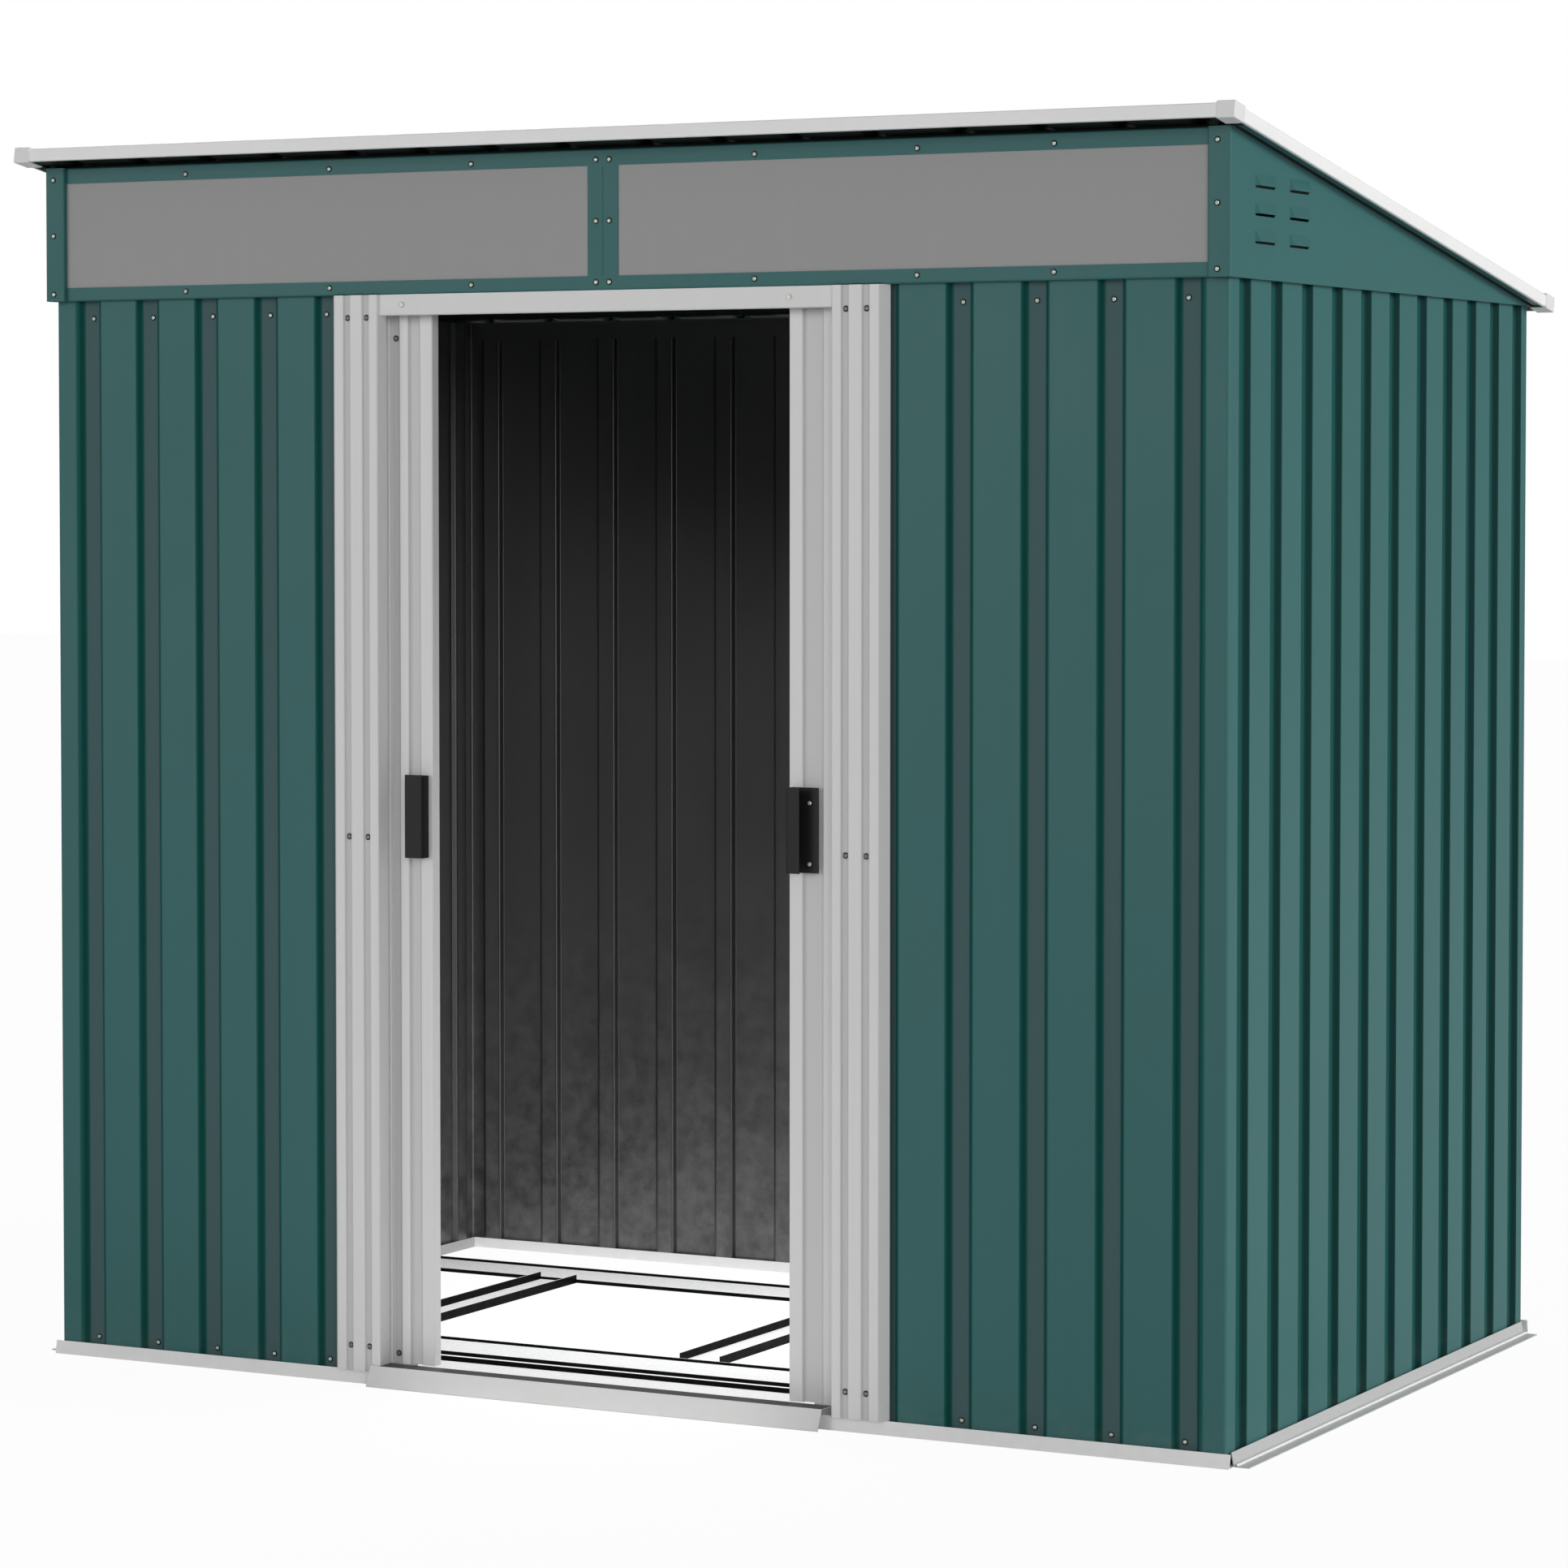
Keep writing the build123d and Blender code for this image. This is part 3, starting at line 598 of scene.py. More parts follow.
def enamel(name, base, rough, drift, floors=None, steep=None, level=None):
    """Sprayed enamel: drifting tone, a fine skin, a coat that is a little rougher where it clouds, and dust.

    On ribbed sheets the values at the vertices put painted shade on the steep sides and the groove floors,
    but a painted grey reflection on the groove floors of the front green sheets. The faces that look up or
    down may have a colour of their own: painted shade on the sill's top, and on the side rails a lighter
    white that leaves their upright faces in painted shade.
    """
    material, tree, shader, place, tone, _ = skinned(name, base, drift, drift * 0.6, (700.0, 0.06, 0.02))
    low_mask = placed(tree, "Ground dust and reflection", place, Amount=0.08)["Mask"]
    coat, shine = tone["Colour"], 0.25
    if floors:
        # Painted light and shade at the ribs, by the values at the vertices
        groove, fold = field(tree, "groove"), field(tree, "fold")
        coat = mixed(tree, spread(tree, groove, 0.2, 1.0, 0.0, 0.8), coat, tint(floors))
        coat = mixed(tree, spread(tree, fold, 0.2, 1.0, 0.0, 0.8), coat, tint(steep))
        shine = spread(tree, worked(tree, "MAXIMUM", groove, fold), 0.0, 1.0, 0.25, 0.05)
    coat = mixed(tree, low_mask, coat, tint("dust"))
    if level:
        # Painted shade by facing: on the sill's top, and on the side rails' upright faces
        coat = mixed(tree, facing_up(tree), coat, tint(level))
    cloudy = spread(tree, tone["Cloud"], 0.3, 0.7, rough - 0.04, rough + 0.04)
    rough = worked(tree, "ADD", cloudy, low_mask)
    feed_all(tree, shader, Base_Color=coat, Roughness=rough, Specular_IOR_Level=shine)
    return material


def lining_coat_painted_light(name):
    """Dark coating on the inner side of the sheets, with a soft sheen, painted shade on its folds and a
    painted reflection of the floor that lightens it towards the bottom.
    """
    material, tree, shader, place, tone, _ = skinned(name, "lining", 0.3, 0.3, (1200.0, 0.12, 0.05))
    # Painted reflection of the floor: the lining gets lighter towards the bottom
    low_mask = placed(tree, "Ground dust and reflection", place, Height=0.9, Amount=0.3)
    coat = mixed(tree, low_mask["Mask"], tone["Colour"], tint("low_floor_reflection"))
    # Painted shade on the lining's folds
    coat = mixed(tree, spread(tree, field(tree, "fold"), 0.2, 1.0, 0.0, 0.8), coat, tint("shade"))
    rough = spread(tree, tone["Cloud"], 0.3, 0.7, 0.27, 0.36)
    feed_all(tree, shader, Base_Color=coat, Roughness=rough, IOR=2.0)
    return material


def zinc_channel_painted_shade(name):
    """Galvanised channels: frosty spangles of zinc, each with its own tone, and upright flanges that are
    near black with painted shade.
    """
    material, tree, shader, place, tone, _ = skinned(name, "zinc", 0.12, 0.0, (600.0, 0.08, 0.03))
    spangle = add_node(tree, "ShaderNodeTexVoronoi", Vector=place, Scale=140.0)
    flake = add_node(tree, "ShaderNodeRGBToBW", Color=spangle.outputs["Color"]).outputs[0]
    bright = spread(tree, flake, 0.2, 0.8, 0.93, 1.04)
    flaked = add_node(tree, "ShaderNodeHueSaturation", Value=bright, Color=tone["Colour"]).outputs[0]
    level = facing_up(tree)
    # Painted shade: the upright flanges take the near-black shade colour
    coat = mixed(tree, level, tint("shade"), flaked)
    rough = spread(tree, flake, 0.2, 0.8, 0.5, 0.36)
    shine = spread(tree, level, 0.0, 1.0, 0.03, 0.5)
    feed_all(tree, shader, Base_Color=coat, Roughness=rough, Specular_IOR_Level=shine, Metallic=0.1)
    return material


def plain_finish(name, base, drift, streaks, grain, follows, rough, shine=0.5, metal=0.0):
    """Plain finish whose roughness follows the tone's clouds or the skin's grain."""
    material, tree, shader, _, tone, skin = skinned(name, base, drift, streaks, grain)
    uneven = tone["Cloud"] if follows == "Cloud" else skin["Grain"]
    feed_all(
        tree, shader, Base_Color=tone["Colour"], Roughness=spread(tree, uneven, 0.3, 0.7, *rough),
        Specular_IOR_Level=shine, Metallic=metal,
    )
    return material


# Kinds of finish: semi-gloss green, off-white, the doors' white, moulded plastic, plated screws and windows
GREEN = {"base": "green", "rough": 0.42, "drift": 0.08}
WHITE = {"base": "white", "rough": 0.45, "drift": 0.05}
DOOR = {**WHITE, "base": "door"}
MOULDED = {"drift": 0.25, "streaks": 0.0, "grain": (1800.0, 0.3, 0.02), "follows": "Grain", "shine": 0.35}
PLATED = {
    "drift": 0.3, "streaks": 0.0, "grain": (2500.0, 0.1, 0.0), "follows": "Grain", "rough": (0.26, 0.4),
    "metal": 0.8,
}
GLAZED = {
    "drift": 0.05, "streaks": 0.02, "grain": (1500.0, 0.08, 0.02), "follows": "Cloud", "rough": (0.55, 0.62),
    "shine": 0.2,
}
FINISHES = {
    "green_enamel": (enamel, GREEN),
    # Front green sheets, with painted shade on the steep sides and a painted grey reflection on the groove
    # floors
    "ribbed_enamel_painted_light": (enamel, {**GREEN, "floors": "groove_floor_reflection", "steep": "green_rib_side_shade"}),
    # Side and back sheets, with painted shade on the grooves' sides and floors
    "ribbed_side_enamel_painted_shade": (enamel, {**GREEN, "floors": "side_groove_shade", "steep": "side_rib_shade"}),
    "white_enamel": (enamel, WHITE),
    "door_enamel": (enamel, DOOR),
    # Jambs and leaves, with painted shade on the white grooves' sides and floors
    "ribbed_door_enamel_painted_shade": (enamel, {**DOOR, "floors": "white_groove_shade", "steep": "white_rib_side_shade"}),
    # Sill with painted shade on its top
    "sill_enamel_painted_shade": (enamel, {**DOOR, "level": "sill_top_shade"}),
    # Side rails with painted shade on their upright faces
    "rail_enamel_painted_shade": (enamel, {**WHITE, "base": "rail", "level": "door"}),
    # Lining with painted shade on its folds and a painted reflection of the floor low down
    "lining_coat_painted_light": (lining_coat_painted_light, {}),
    # Channels with painted shade on their upright flanges
    "zinc_channel_painted_shade": (zinc_channel_painted_shade, {}),
    "window_grey": (plain_finish, {**GLAZED, "base": "window"}),
    "handle_black": (plain_finish, {**MOULDED, "base": "plastic", "rough": (0.42, 0.58)}),
    "glide_white": (plain_finish, {**MOULDED, "base": "glide", "rough": (0.42, 0.58)}),
    "cap_white": (plain_finish, {**MOULDED, "base": "cap", "rough": (0.37, 0.53)}),
    # Painted shade under the roof
    "soffit_coat_painted_shade": (plain_finish, {**MOULDED, "base": "soffit_shade", "rough": (0.57, 0.73)}),
    "washer_rubber": (plain_finish, {**MOULDED, "base": "washer", "rough": (0.52, 0.68)}),
    "screw_plating": (plain_finish, {**PLATED, "base": "head"}),
    "screw_dull": (plain_finish, {**PLATED, "base": "dull_head"}),
}


def finish(name):
    """One of the finishes, built when it is first asked for."""
    maker, values = FINISHES[name]
    return bpy.data.materials.get(name) or maker(name, **values)


# Pieces


def inner_edge(box, sign):
    """X of the edge of a box that is nearer the middle, on the side of that sign."""
    low, high = box
    return low.x if sign > 0 else high.x


def side_axes(box, sign):
    """Axes of an upright sheet in the front: outward from its box's inner edge, inward and up."""
    return (inner_edge(box, sign), box[0].y, 0), sign * RIGHT, BACK, UP


def build_walls(sizes):
    """Eight ribbed sheets, each a folded line carried from the base rail to the wall's top."""
    groove = (sizes.groove_width, sizes.groove_depth, sizes.groove_slope)
    front = ((0, FRONT_Y, 0), RIGHT, BACK, UP)
    back = ((0, BACK_Y, 0), RIGHT, -BACK, UP)

    def stand(node, corners, radius, axes, coat="ribbed_side_enamel_painted_shade"):
        low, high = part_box(node)
        line = edged_line(bent_line(corners, radius, sizes.bend_steps), sizes.edge_line)
        shape = folded_sheet(line, sizes.thickness, axes, low.z, high.z)
        fields = rib_fields(line, sizes.groove_depth, sizes.edge_line)
        name = "ribbed_" + node.replace("panel_", "")
        piece(name, shape, (coat, "lining_coat_painted_light"), "shed", "green_steel", node, fields=fields)

    def row(first, step, room):
        return first + step * np.arange(int(room // abs(step)) + 1)

    starts = ((sizes.front_left_first, sizes.front_left_pitch), (sizes.front_right_first, sizes.pitch))
    for (side, sign), (first, step) in zip(SIDES, starts):
        node = f"front_panel_{side}"
        low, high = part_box(node)
        room = WALL_X - sign * inner_edge((low, high), sign) - first
        places = np.sort(sign * row(WALL_X - first, -step, room))
        stand(node, ribbed_line(low.x, places, high.x, *groove), sizes.bend, front, "ribbed_enamel_painted_light")

    depth, seam = BACK_Y - FRONT_Y, SIDE_SEAM_Y - FRONT_Y
    near = ribbed_line(0, row(sizes.side_first, sizes.pitch, seam), seam, *groove)
    near = np.vstack([[0, sizes.corner_return], near])
    first = seam + sizes.side_rear_first
    far = ribbed_line(seam, row(first, sizes.side_rear_pitch, depth - first), depth, *groove)
    far = np.vstack([far, [depth, sizes.back_return]])
    near_bends, far_bends = (np.full(len(corners) - 2, sizes.bend) for corners in (near, far))
    near_bends[0] = far_bends[-1] = sizes.corner_bend
    for side, sign in SIDES:
        axes = ((sign * WALL_X, FRONT_Y, 0), BACK, -sign * RIGHT, UP)
        stand(f"{side}_panel_front", near, near_bends, axes)
        stand(f"{side}_panel_rear", far, far_bends, axes)

    for side, _ in SIDES:
        low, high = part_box(f"back_panel_{side}")
        first = math.ceil((low.x + sizes.groove_width / 2) / sizes.pitch)
        last = math.floor((high.x - sizes.groove_width / 2) / sizes.pitch)
        places = sizes.pitch * np.arange(first, last + 1)
        stand(f"back_panel_{side}", ribbed_line(low.x, places, high.x, *groove), sizes.bend, back)


def roof_axes(sizes):
    """Roof's front edge, the way down its fall, its upward normal and its length.

    The sheets' box is taller and longer than their underside by the ribs' height, turned by the pitch, so the
    pitch is found by a few rounds of tan(pitch) = drop / run.
    """
    low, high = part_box("roof_panel_1")
    rise = sizes.roof_rib_height + sizes.thickness
    pitch = 0.0
    for _ in range(6):
        run = high.y - low.y - rise * math.sin(pitch)
        drop = high.z - low.z - rise * math.cos(pitch)
        pitch = math.atan2(drop, run)
    fall = np.array([0.0, math.cos(pitch), -math.sin(pitch)])
    normal = np.array([0.0, math.sin(pitch), math.cos(pitch)])
    edge = np.array([0.0, low.y, high.z]) - normal * rise + [0.0, rise * math.sin(pitch), 0.0]
    edge = edge - fall * sizes.thickness
    return edge, fall, normal, run / math.cos(pitch) + 2 * sizes.thickness


def build_roof(sizes):
    """Ribbed roof sheets, and folded trims, strips and seals at their edges, along the fall or across it."""
    edge, fall, normal, length = roof_axes(sizes)
    thickness, bends = sizes.thickness, (sizes.bend, sizes.bend_steps)
    rib = (sizes.roof_rib_width, sizes.roof_rib_height, sizes.roof_rib_slope)
    axes = (edge, RIGHT, normal, fall)
    for panel in range(1, 5):
        node = f"roof_panel_{panel}"
        low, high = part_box(node)
        count = int((high.x - low.x) // sizes.roof_pitch)
        places = (low.x + high.x) / 2 + sizes.roof_pitch * (np.arange(count) - (count - 1) / 2)
        line = bent_line(ribbed_line(low.x, places, high.x, *rib), *bends)
        shape = folded_sheet(line, thickness, axes, thickness, length - thickness)
        # Painted shade on the roof sheets' underside
        finishes = ("soffit_coat_painted_shade", "green_enamel")
        piece(f"ribbed_roof_{panel}", shape, finishes, "shed", "green_steel", node)

    flange, above, below = sizes.trim_top_flange, sizes.trim_above, -sizes.trim_below
    line = bent_line([(flange, above), (0, above), (0, below), (sizes.trim_bottom_flange, below)], *bends)
    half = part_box("roof_trim_front")[1].x
    runs = {
        "front": ((edge, fall, normal, RIGHT), -half, half),
        "back": ((edge + fall * length, -fall, normal, RIGHT), -half, half),
        "left": ((edge - RIGHT * half, RIGHT, normal, fall), flange, length - flange),
        "right": ((edge + RIGHT * half, -RIGHT, normal, fall), flange, length - flange),
    }
    for side, (axes, start, end) in runs.items():
        shape = folded_sheet(line, thickness, axes, start, end)
        piece(f"trim_{side}", shape, ("white_enamel",), "shed", "white_steel", f"roof_trim_{side}")

    gap, depth, face = sizes.soffit_gap, -sizes.soffit_depth, WALL_X + sizes.gable_proud
    strip = bent_line([(gap, -thickness), (gap, depth), (half - face - thickness, depth)], *bends)
    seal = bent_line([(sizes.seal_proud, -end) for end in (sizes.seal_foot, sizes.seal_top)], *bends)
    start, end = ((y - edge[1]) / fall[1] for y in (FRONT_Y, BACK_Y))
    for side, sign in SIDES:
        axes = (edge + sign * RIGHT * face, sign * RIGHT, normal, fall)
        shape = folded_sheet(strip, thickness, axes, start, end)
        piece(f"soffit_strip_{side}", shape, ("green_enamel",), "shed", "green_steel")
        shape = folded_sheet(seal, sizes.seal_proud, axes, start, end)
        piece(f"gable_seal_{side}", shape, ("washer_rubber",), "shed", "handle_plastic")
    dress("cap_white", "roof_caps_front", "roof_caps_back")
    # Painted shade on the roof beams
    dress("soffit_coat_painted_shade", "roof_beam_front", "roof_beam_middle", "roof_beam_rear")


def angle_rail(name, node, sizes, finishes, slot, upper=False):
    """Angle along X: an upright face in front, and a flange behind its lower edge or its upper one."""
    low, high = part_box(node)
    corners = [(low.y, high.z), (low.y, low.z), (high.y, low.z)]
    if upper:
        corners = [(high.y, high.z), (low.y, high.z), (low.y, low.z)]
    line = bent_line(corners, sizes.bend, sizes.bend_steps)
    shape = folded_sheet(line, sizes.thickness, ((0, 0, 0), BACK, UP, RIGHT), low.x, high.x)
    piece(name, shape, finishes, "shed", slot, node)


def build_strip(sizes):
    """Rails and stiles of the glazed strip as folded lines, with the mullion, windows and gables dressed."""
    green = ("green_enamel", "lining_coat_painted_light")
    angle_rail("strip_bottom", "strip_rail_bottom", sizes, green, "green_steel")
    angle_rail("strip_top", "strip_rail_top", sizes, green, "green_steel", upper=True)
    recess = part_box("strip_rail_top")[0].y + sizes.thickness
    for side, sign in SIDES:
        low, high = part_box(f"strip_stile_{side}")
        inner, outer = sorted((abs(low.x), abs(high.x)))
        corners = [(inner, recess), (inner, low.y), (outer, low.y), (outer, high.y)]
        line = bent_line(corners, sizes.bend, sizes.bend_steps)
        shape = folded_sheet(line, sizes.thickness, ((0, 0, 0), sign * RIGHT, BACK, UP), low.z, high.z)
        piece(f"stile_{side}", shape, green, "shed", "green_steel", f"strip_stile_{side}")
    dress("green_enamel", "strip_mullion", "gable_left", "gable_right")
    dress("window_grey", "window_left", "window_right")


def jamb_grooves(doors):
    """Middles of a jamb's two grooves, from its inner edge."""
    first = doors.jamb_edge_ridge + doors.jamb_groove_width / 2
    return np.array([first, first + doors.jamb_groove_width + doors.jamb_middle_ridge])


def build_doorway(sizes, doors):
    """Ribbed jambs carried up from the base rail, the header across them and the sill."""
    angle_rail("header", "door_header", sizes, ("door_enamel",), "white_steel")
    groove = (doors.jamb_groove_width, doors.jamb_groove_depth, doors.jamb_groove_slope)
    for side, sign in SIDES:
        node = f"door_jamb_{side}"
        low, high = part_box(node)
        width, fold = high.x - low.x, high.y - low.y
        ridges = ribbed_line(0, jamb_grooves(doors), width - doors.jamb_outer_slope, *groove)
        flange = doors.jamb_back_flange
        corners = np.vstack([[flange, fold], [0, fold], ridges, [width, doors.jamb_proud]])
        line = edged_line(bent_line(corners, sizes.bend, sizes.bend_steps), doors.edge_line)
        shape = folded_sheet(line, sizes.thickness, side_axes((low, high), sign), low.z, high.z)
        fields = rib_fields(line, doors.jamb_groove_depth, doors.edge_line, doors.crest)
        piece(f"jamb_{side}", shape, ("ribbed_door_enamel_painted_shade",), "shed", "white_steel", node, fields=fields)
    # Painted shade on the sill's top
    dress("sill_enamel_painted_shade", "door_sill")


def leaf_shape(low, high, axes, shares, sizes, doors):
    """Ribbed leaf between two corners of its box, with its end plates, and its fields."""
    width, depth = high.x - low.x, high.y - low.y
    groove = np.array(shares) * width
    run = np.array([0.0, doors.leaf_groove_slope, -doors.leaf_groove_slope, 0.0])
    along = (groove[:, [0, 0, 1, 1]] + run).ravel()
    inward = np.tile([0.0, doors.leaf_groove_depth, doors.leaf_groove_depth, 0.0], len(groove))
    flange = doors.leaf_edge_flange
    corners = np.vstack([
        [[flange, depth], [0, depth], [0, 0]],
        np.column_stack([along, inward]),
        [[width, 0], [width, depth], [width - flange, depth]],
    ])
    line = edged_line(bent_line(corners, sizes.bend, sizes.bend_steps), doors.edge_line)
    skin = folded_sheet(line, sizes.thickness, axes, low.z, high.z)
    behind = doors.leaf_groove_depth + sizes.thickness
    edge = np.array([[sizes.thickness, behind], [width - sizes.thickness, behind]])
    plate = (edge, np.array([[0.0, 1.0]] * 2))
    plates = [
        folded_sheet(plate, depth - behind - sizes.thickness, axes, start, start + sizes.thickness)
        for start in (low.z, high.z - sizes.thickness)
    ]
    shape = joined([skin, *plates])
    fields = rib_fields(line, doors.leaf_groove_depth, doors.edge_line, doors.crest)
    more = len(shape[0]) - len(fields["fold"])
    return shape, {label: np.pad(values, (0, more)) for label, values in fields.items()}


def build_doors(sizes, doors):
    """Ribbed leaves, and handles folded from thick sheet, on their own bodies."""
    lips = {"left": doors.left_handle_lip, "right": doors.right_handle_lip}
    for side, sign in SIDES:
        body, node = f"{side}_door", f"door_leaf_{side}"
        low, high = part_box(node)
        shape, fields = leaf_shape(low, high, side_axes((low, high), sign), LEAF_SHARES[side], sizes, doors)
        piece(f"leaf_{side}", shape, ("ribbed_door_enamel_painted_shade",), body, "white_steel", node, fields=fields)
        node = f"door_handle_{side}"
        low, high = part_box(node)
        reach = high.y - low.y
        corners = [(doors.handle_base, reach), (0, reach), (0, 0), (lips[side], 0)]
        line = bent_line(corners, doors.handle_bend, 2 * sizes.bend_steps)
        shape = folded_sheet(line, doors.handle_sheet, side_axes((low, high), sign), low.z, high.z)
        piece(f"handle_{side}", shape, ("handle_black",), body, "handle_plastic", node)
        dress("glide_white", f"door_glides_{side}")


def build_base(sizes):
    """Beads along the side rails' feet, and finishes of the rails, the floor's channels and the tracks."""
    start, foot = sizes.bead_out, sizes.bead_foot
    end, top = start + sizes.bead_width, foot + sizes.bead_height
    corners = [(start, foot), (start, top), (end, top), (end, foot)]
    line = bent_line(corners, sizes.bead_width / 2, sizes.bend_steps)
    for side, sign in SIDES:
        low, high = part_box(f"base_rail_{side}")
        axes = ((sign * WALL_X, 0, 0), sign * RIGHT, UP, BACK)
        shape = folded_sheet(line, sizes.thickness, axes, low.y, high.y)
        piece(f"bead_{side}", shape, ("white_enamel",), "shed", "white_steel")
    dress("white_enamel", "base_rail_front", "base_rail_back")
    # Painted shade on the side rails' upright faces
    dress("rail_enamel_painted_shade", "base_rail_left", "base_rail_right")
    # Painted shade on the channels' upright flanges
    dress("zinc_channel_painted_shade", "floor_rail_sill", "floor_rail_front", "floor_rail_rear", "door_track")
    dress("zinc_channel_painted_shade", "floor_cross_left", "floor_cross_middle", "floor_cross_right")
    dress("lining_coat_painted_light", "door_top_track", "top_rail_back")


def screw_shape(screws):
    """Washer and domed head on a polar grid of the angle t and rings r.

    Height: the washer's rim up to its flat, then washer + head * (1 - drop * (r / R) ** 2), lowered near the
    middle by recess * cos(2 t) ** 2 for the crossed slots. Returns the vertices, the quads and 1 for each
    quad of the head; the innermost ring is closed by quads that share its centre.
    """
    angle = np.linspace(0, 2 * math.pi, screws.sides, endpoint=False)
    rings, base = np.array(HEAD_RINGS), screws.washer_height
    radii = np.concatenate([[screws.washer_radius] * 2, screws.head_radius * np.insert(rings, 0, 1.0)])
    heights = np.concatenate([[0.0, base, base], base + screws.head_height * (1 - RIM_DROP * rings ** 2)])
    slots = np.concatenate([np.zeros(3), SLOT_SHARES])[:, None] * screws.recess * np.cos(2 * angle) ** 2
    across, along = np.outer(radii, np.cos(angle)), np.outer(radii, np.sin(angle))
    surface = np.stack([across, along, heights[:, None] - slots], axis=-1)
    vertices = np.vstack([surface.reshape(-1, 3), [[0, 0, heights[-1] - screws.recess]]])
    index = np.arange(len(vertices) - 1).reshape(-1, screws.sides)
    onward = np.roll(index, -1, axis=1)
    quads = np.stack([index[:-1], onward[:-1], onward[1:], index[1:]], axis=-1).reshape(-1, 4)
    last = index[-1]
    middle = np.full(screws.sides // 2, len(vertices) - 1)
    fan = np.column_stack([last[::2], np.roll(last, -1)[::2], np.roll(last, -2)[::2], middle])
    quads = np.vstack([quads, fan])
    head = np.arange(len(quads)) >= 2 * screws.sides
    return vertices, quads, head.astype(int)


def set_screws(
    name, places, screws, body, slot="galvanised_steel", heads="screw_plating", washers="washer_rubber"
):
    """One piece of many screws: a screw's surface at every place, turned to the front and spun at random."""
    vertices, quads, head = screw_shape(screws)
    spin = np.random.default_rng(len(places)).uniform(0, math.pi, len(places))[:, None, None]
    first = np.cos(spin) * RIGHT + np.sin(spin) * UP
    second = np.cos(spin) * UP - np.sin(spin) * RIGHT
    turned = vertices[:, :1] * first + vertices[:, 1:2] * second - vertices[:, 2:] * BACK
    all_vertices = (places[:, None] + turned).reshape(-1, 3)
    starts = len(vertices) * np.arange(len(places))
    all_quads = (starts[:, None, None] + quads).reshape(-1, 4)
    corners = all_vertices[all_quads]
    normals = np.cross(corners[:, 2] - corners[:, 0], corners[:, 3] - corners[:, 1])
    normals = normals / np.linalg.norm(normals, axis=1)[:, None]
    shape = (all_vertices, all_quads, np.repeat(normals[:, None], 4, axis=1), np.tile(1 - head, len(places)))
    piece(name, shape, (heads, washers), body, slot)


def grid(first, second, third):
    """Every place of three lists of coordinates."""
    return np.stack(np.meshgrid(first, second, third, indexing="ij"), axis=-1).reshape(-1, 3)


def ends(low, high, distances):
    """Two heights, that far above the lower one and below the upper one."""
    return low + distances[0], high - distances[1]


def build_screws(sizes, doors, screws):
    """Screws of the strip, front walls, jambs, header and doors."""
    rail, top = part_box("strip_rail_bottom")[0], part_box("strip_rail_top")[1]
    rows = ends(rail.z, top.z, STRIP_SCREW_ENDS)
    middle = (rows[0] + rows[1]) / 2
    mullion = [x for x in STRIP_SCREW_X if abs(x) < MULLION_X]
    places = np.vstack([grid(STRIP_SCREW_X, [rail.y], rows), grid(mullion, [rail.y], [middle])])
    set_screws("screws_strip", places, screws, "shed")
    left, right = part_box("strip_stile_left")[0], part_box("strip_stile_right")[1]
    levels = np.array([rows[0], middle, rows[1]]) - STILE_SCREW_DROPS
    places = grid(ends(left.x, right.x, STILE_SCREW_IN), [left.y], levels)
    set_screws("screws_stiles", places, screws, "shed")

    places = grid(FRONT_SCREW_X, [FRONT_Y + sizes.groove_depth], ends(0.0, WALL_TOP, WALL_SCREW_ENDS))
    set_screws("screws_front", places, screws, "shed")
    left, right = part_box("door_jamb_left"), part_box("door_jamb_right")
    grooves = jamb_grooves(doors)
    jamb_x = np.concatenate([left[1].x - grooves[::-1], right[0].x + grooves])
    places = grid(jamb_x, [left[0].y + doors.jamb_groove_depth], JAMB_SCREW_Z)
    set_screws("screws_jambs", places, screws, "shed", heads="screw_dull")
    low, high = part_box("door_header")
    places = grid(HEADER_SCREW_X, [low.y], [(low.z + high.z) / 2])
    set_screws("screws_header", places, screws, "shed", "white_steel", "white_enamel", "screw_dull")

    for side, sign in SIDES:
        low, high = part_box(f"door_leaf_{side}")
        middles = np.mean(LEAF_SHARES[side], axis=1) * (high.x - low.x)
        leaf_x = inner_edge((low, high), sign) + sign * middles[[1, -1]]
        places = grid(leaf_x, [low.y + doors.leaf_groove_depth], ends(low.z, high.z, LEAF_SCREW_ENDS))
        set_screws(f"screws_leaf_{side}", places, screws, f"{side}_door", heads="screw_dull")
    for side, sign in reversed(SIDES):
        low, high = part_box(f"door_handle_{side}")
        handle_x = inner_edge((low, high), sign) + sign * (doors.handle_base - HANDLE_SCREW_IN)
        places = grid([handle_x], [high.y - doors.handle_sheet], ends(low.z, high.z, HANDLE_SCREW_ENDS))
        set_screws(f"screws_handle_{side}", places, screws, f"{side}_door")


# Stage


def plain_white(tree, shown, gloss):
    """Share of plain white: so much where the camera sees it, less in reflections, and none for the light."""
    path = add_node(tree, "ShaderNodeLightPath").outputs
    seen = worked(tree, "MAXIMUM", path["Is Camera Ray"], path["Is Transmission Ray"])
    mirrored = worked(tree, "MULTIPLY", path["Is Glossy Ray"], gloss)
    return worked(tree, "MAXIMUM", worked(tree, "MULTIPLY", seen, shown), mirrored)


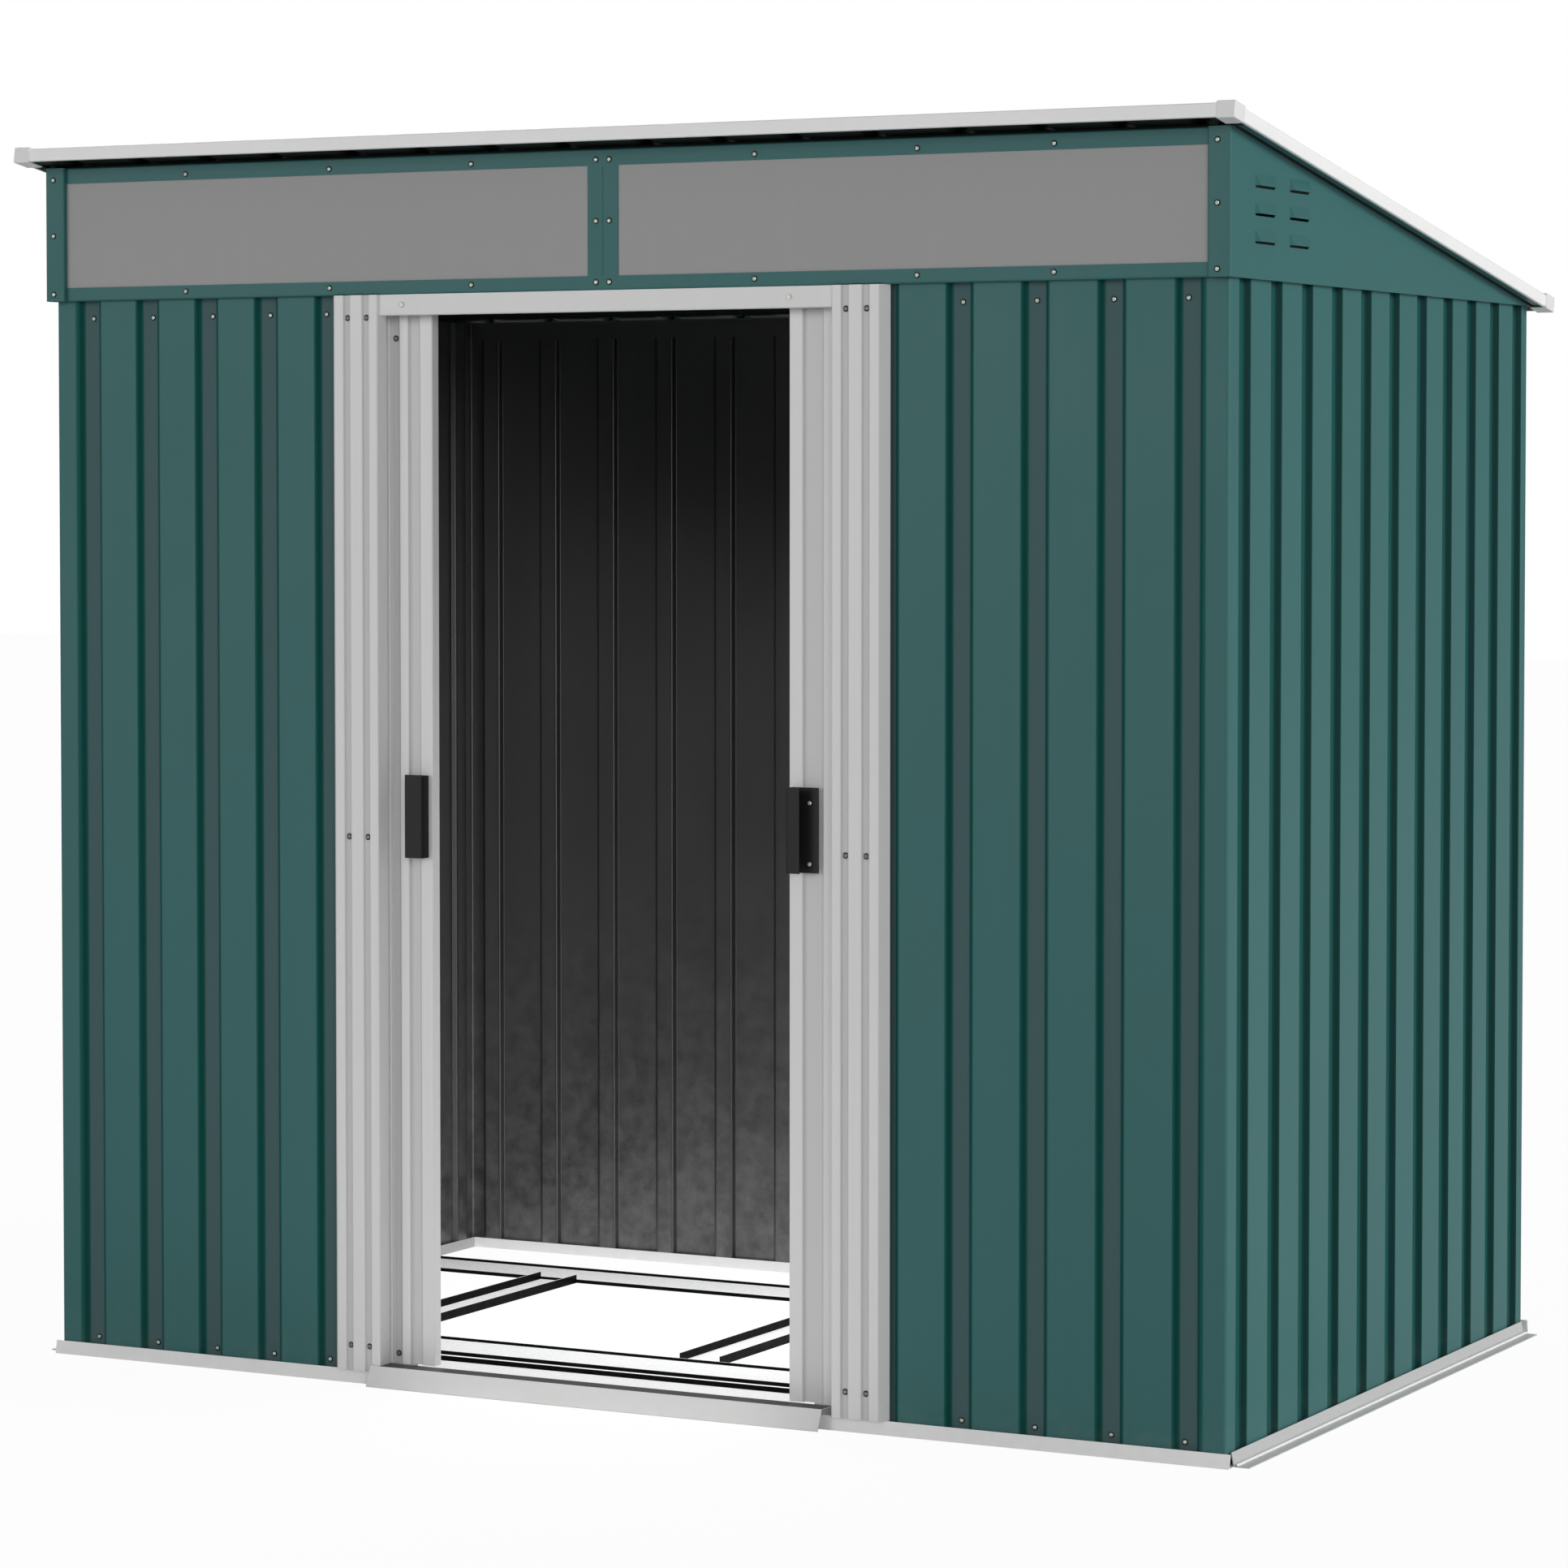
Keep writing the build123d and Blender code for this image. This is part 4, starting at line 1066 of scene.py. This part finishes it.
def floor_finish(studio):
    """Matt floor that shows mostly plain white, so that only a faint shadow is left."""
    material = bpy.data.materials.new("studio_floor")
    material.use_nodes = True
    tree = material.node_tree
    shader = tree.nodes["Principled BSDF"]
    feed_all(tree, shader.inputs, Base_Color=tint("floor"), Roughness=0.9, Specular_IOR_Level=0.0)
    white = add_node(tree, "ShaderNodeEmission", Color=(1.0, 1.0, 1.0), Strength=1.0)
    both = add_node(tree, "ShaderNodeMixShader")
    parts = (plain_white(tree, studio.floor_glow, studio.gloss), shader.outputs[0], white.outputs[0])
    for target, value in zip(both.inputs, parts):
        feed(tree, target, value)
    feed_all(tree, tree.nodes["Material Output"].inputs, Surface=both.outputs[0])
    return material


def build_stage(studio):
    """Camera, four soft lamps, a lamp under the roof, room light and a pale floor."""
    scene = bpy.context.scene
    scene.view_settings.view_transform = "Standard"
    camera = bpy.data.cameras.new("camera")
    camera.sensor_width = SENSOR_WIDTH
    camera.lens = studio.lens
    camera.shift_x, camera.shift_y = studio.shift
    camera.clip_end = studio.view_reach
    scene.camera = add_object("camera", camera)
    scene.camera.location = studio.camera_place
    scene.camera.rotation_euler = Euler(studio.camera_turn)

    for name in ("key", "fill", "side_fill", "rear"):
        lamp = bpy.data.lights.new(name, "SUN")
        lamp.energy = getattr(studio, name)
        lamp.angle = studio.lamp_angle
        source = Vector(getattr(studio, f"{name}_from"))
        add_object(name, lamp).rotation_euler = source.to_track_quat("Z", "Y").to_euler()
    lamp = bpy.data.lights.new("inside", "AREA")
    lamp.shape = "RECTANGLE"
    lamp.size = studio.inside_shares[0] * 2 * WALL_X
    lamp.size_y = studio.inside_shares[1] * (BACK_Y - FRONT_Y)
    lamp.spread = studio.inside_spread
    lamp.energy = studio.inside
    add_object("inside", lamp).location = (0.0, (FRONT_Y + BACK_Y) / 2, WALL_TOP - studio.inside_drop)

    scene.world = bpy.data.worlds.new("room")
    scene.world.use_nodes = True
    tree = scene.world.node_tree
    strength = worked(tree, "MAXIMUM", plain_white(tree, 1.0, studio.gloss), studio.room)
    feed_all(tree, tree.nodes["Background"].inputs, Color=(1.0, 1.0, 1.0), Strength=strength)

    corners = np.array([(-1, -1, 0), (1, -1, 0), (1, 1, 0), (-1, 1, 0)]) * studio.floor_reach
    mesh = bpy.data.meshes.new("floor")
    mesh.from_pydata(corners, [], [(0, 1, 2, 3)])
    mesh.materials.append(floor_finish(studio))
    floor = add_object("floor", mesh)


# Operators


class SHED_OT_walls(Operator):
    """Builds the ribbed wall sheets"""

    bl_idname = "shed.walls"
    bl_label = "Wall sheets"

    def execute(self, context):
        build_walls(context.scene.shed_sheets)
        return {"FINISHED"}


class SHED_OT_roof(Operator):
    """Builds the roof sheets, and the trims, strips and seals at their edges"""

    bl_idname = "shed.roof"
    bl_label = "Roof"

    def execute(self, context):
        build_roof(context.scene.shed_sheets)
        return {"FINISHED"}


class SHED_OT_strip(Operator):
    """Builds the glazed strip and finishes the gables"""

    bl_idname = "shed.strip"
    bl_label = "Glazed strip"

    def execute(self, context):
        build_strip(context.scene.shed_sheets)
        return {"FINISHED"}


class SHED_OT_doorway(Operator):
    """Builds the jambs and the header and finishes the sill"""

    bl_idname = "shed.doorway"
    bl_label = "Doorway"

    def execute(self, context):
        build_doorway(context.scene.shed_sheets, context.scene.shed_doors)
        return {"FINISHED"}


class SHED_OT_doors(Operator):
    """Builds the sliding leaves and their handles"""

    bl_idname = "shed.doors"
    bl_label = "Doors"

    def execute(self, context):
        build_doors(context.scene.shed_sheets, context.scene.shed_doors)
        return {"FINISHED"}


class SHED_OT_base(Operator):
    """Beads the side rails and finishes the base rails, the floor's channels and the tracks"""

    bl_idname = "shed.base"
    bl_label = "Base and floor"

    def execute(self, context):
        build_base(context.scene.shed_sheets)
        return {"FINISHED"}


class SHED_OT_screws(Operator):
    """Sets the screws and their washers"""

    bl_idname = "shed.screws"
    bl_label = "Screws"

    def execute(self, context):
        scene = context.scene
        build_screws(scene.shed_sheets, scene.shed_doors, scene.shed_screws)
        return {"FINISHED"}


class SHED_OT_stage(Operator):
    """Sets up the camera, the light and the floor"""

    bl_idname = "shed.stage"
    bl_label = "Stage"

    def execute(self, context):
        build_stage(context.scene.shed_studio)
        return {"FINISHED"}


OPERATORS = (
    SHED_OT_stage, SHED_OT_walls, SHED_OT_roof, SHED_OT_strip, SHED_OT_doorway, SHED_OT_doors, SHED_OT_base,
    SHED_OT_screws,
)
GROUPS = {
    "shed_sheets": ShedSheetSizes,
    "shed_doors": ShedDoorSizes,
    "shed_screws": ShedScrewSizes,
    "shed_colours": ShedColours,
    "shed_studio": ShedStudio,
}


class VIEW3D_PT_shed(Panel):
    """Lists the shed's operators and values"""

    bl_label = "Metal storage shed"
    bl_space_type = "VIEW_3D"
    bl_region_type = "UI"
    bl_category = "Shed"

    def draw(self, context):
        for operator in OPERATORS:
            self.layout.operator(operator.bl_idname)
        for name, values in GROUPS.items():
            box = self.layout.box()
            box.label(text=values.__doc__)
            for label in values.__annotations__:
                box.prop(getattr(context.scene, name), label)


CLASSES = (*GROUPS.values(), *OPERATORS, VIEW3D_PT_shed)


def register():
    """Registers the classes and puts the values on the scene."""
    for kind in CLASSES:
        bpy.utils.register_class(kind)
    for name, values in GROUPS.items():
        setattr(bpy.types.Scene, name, PointerProperty(type=values))


def unregister():
    """Takes the values off the scene and unregisters the classes."""
    for name in GROUPS:
        delattr(bpy.types.Scene, name)
    for kind in reversed(CLASSES):
        bpy.utils.unregister_class(kind)


def main():
    """Registers the add-on and runs its operators in order."""
    register()
    bpy.ops.shed.stage()
    bpy.ops.shed.walls()
    bpy.ops.shed.roof()
    bpy.ops.shed.strip()
    bpy.ops.shed.doorway()
    bpy.ops.shed.doors()
    bpy.ops.shed.base()
    bpy.ops.shed.screws()


if __name__ == "__main__":
    main()
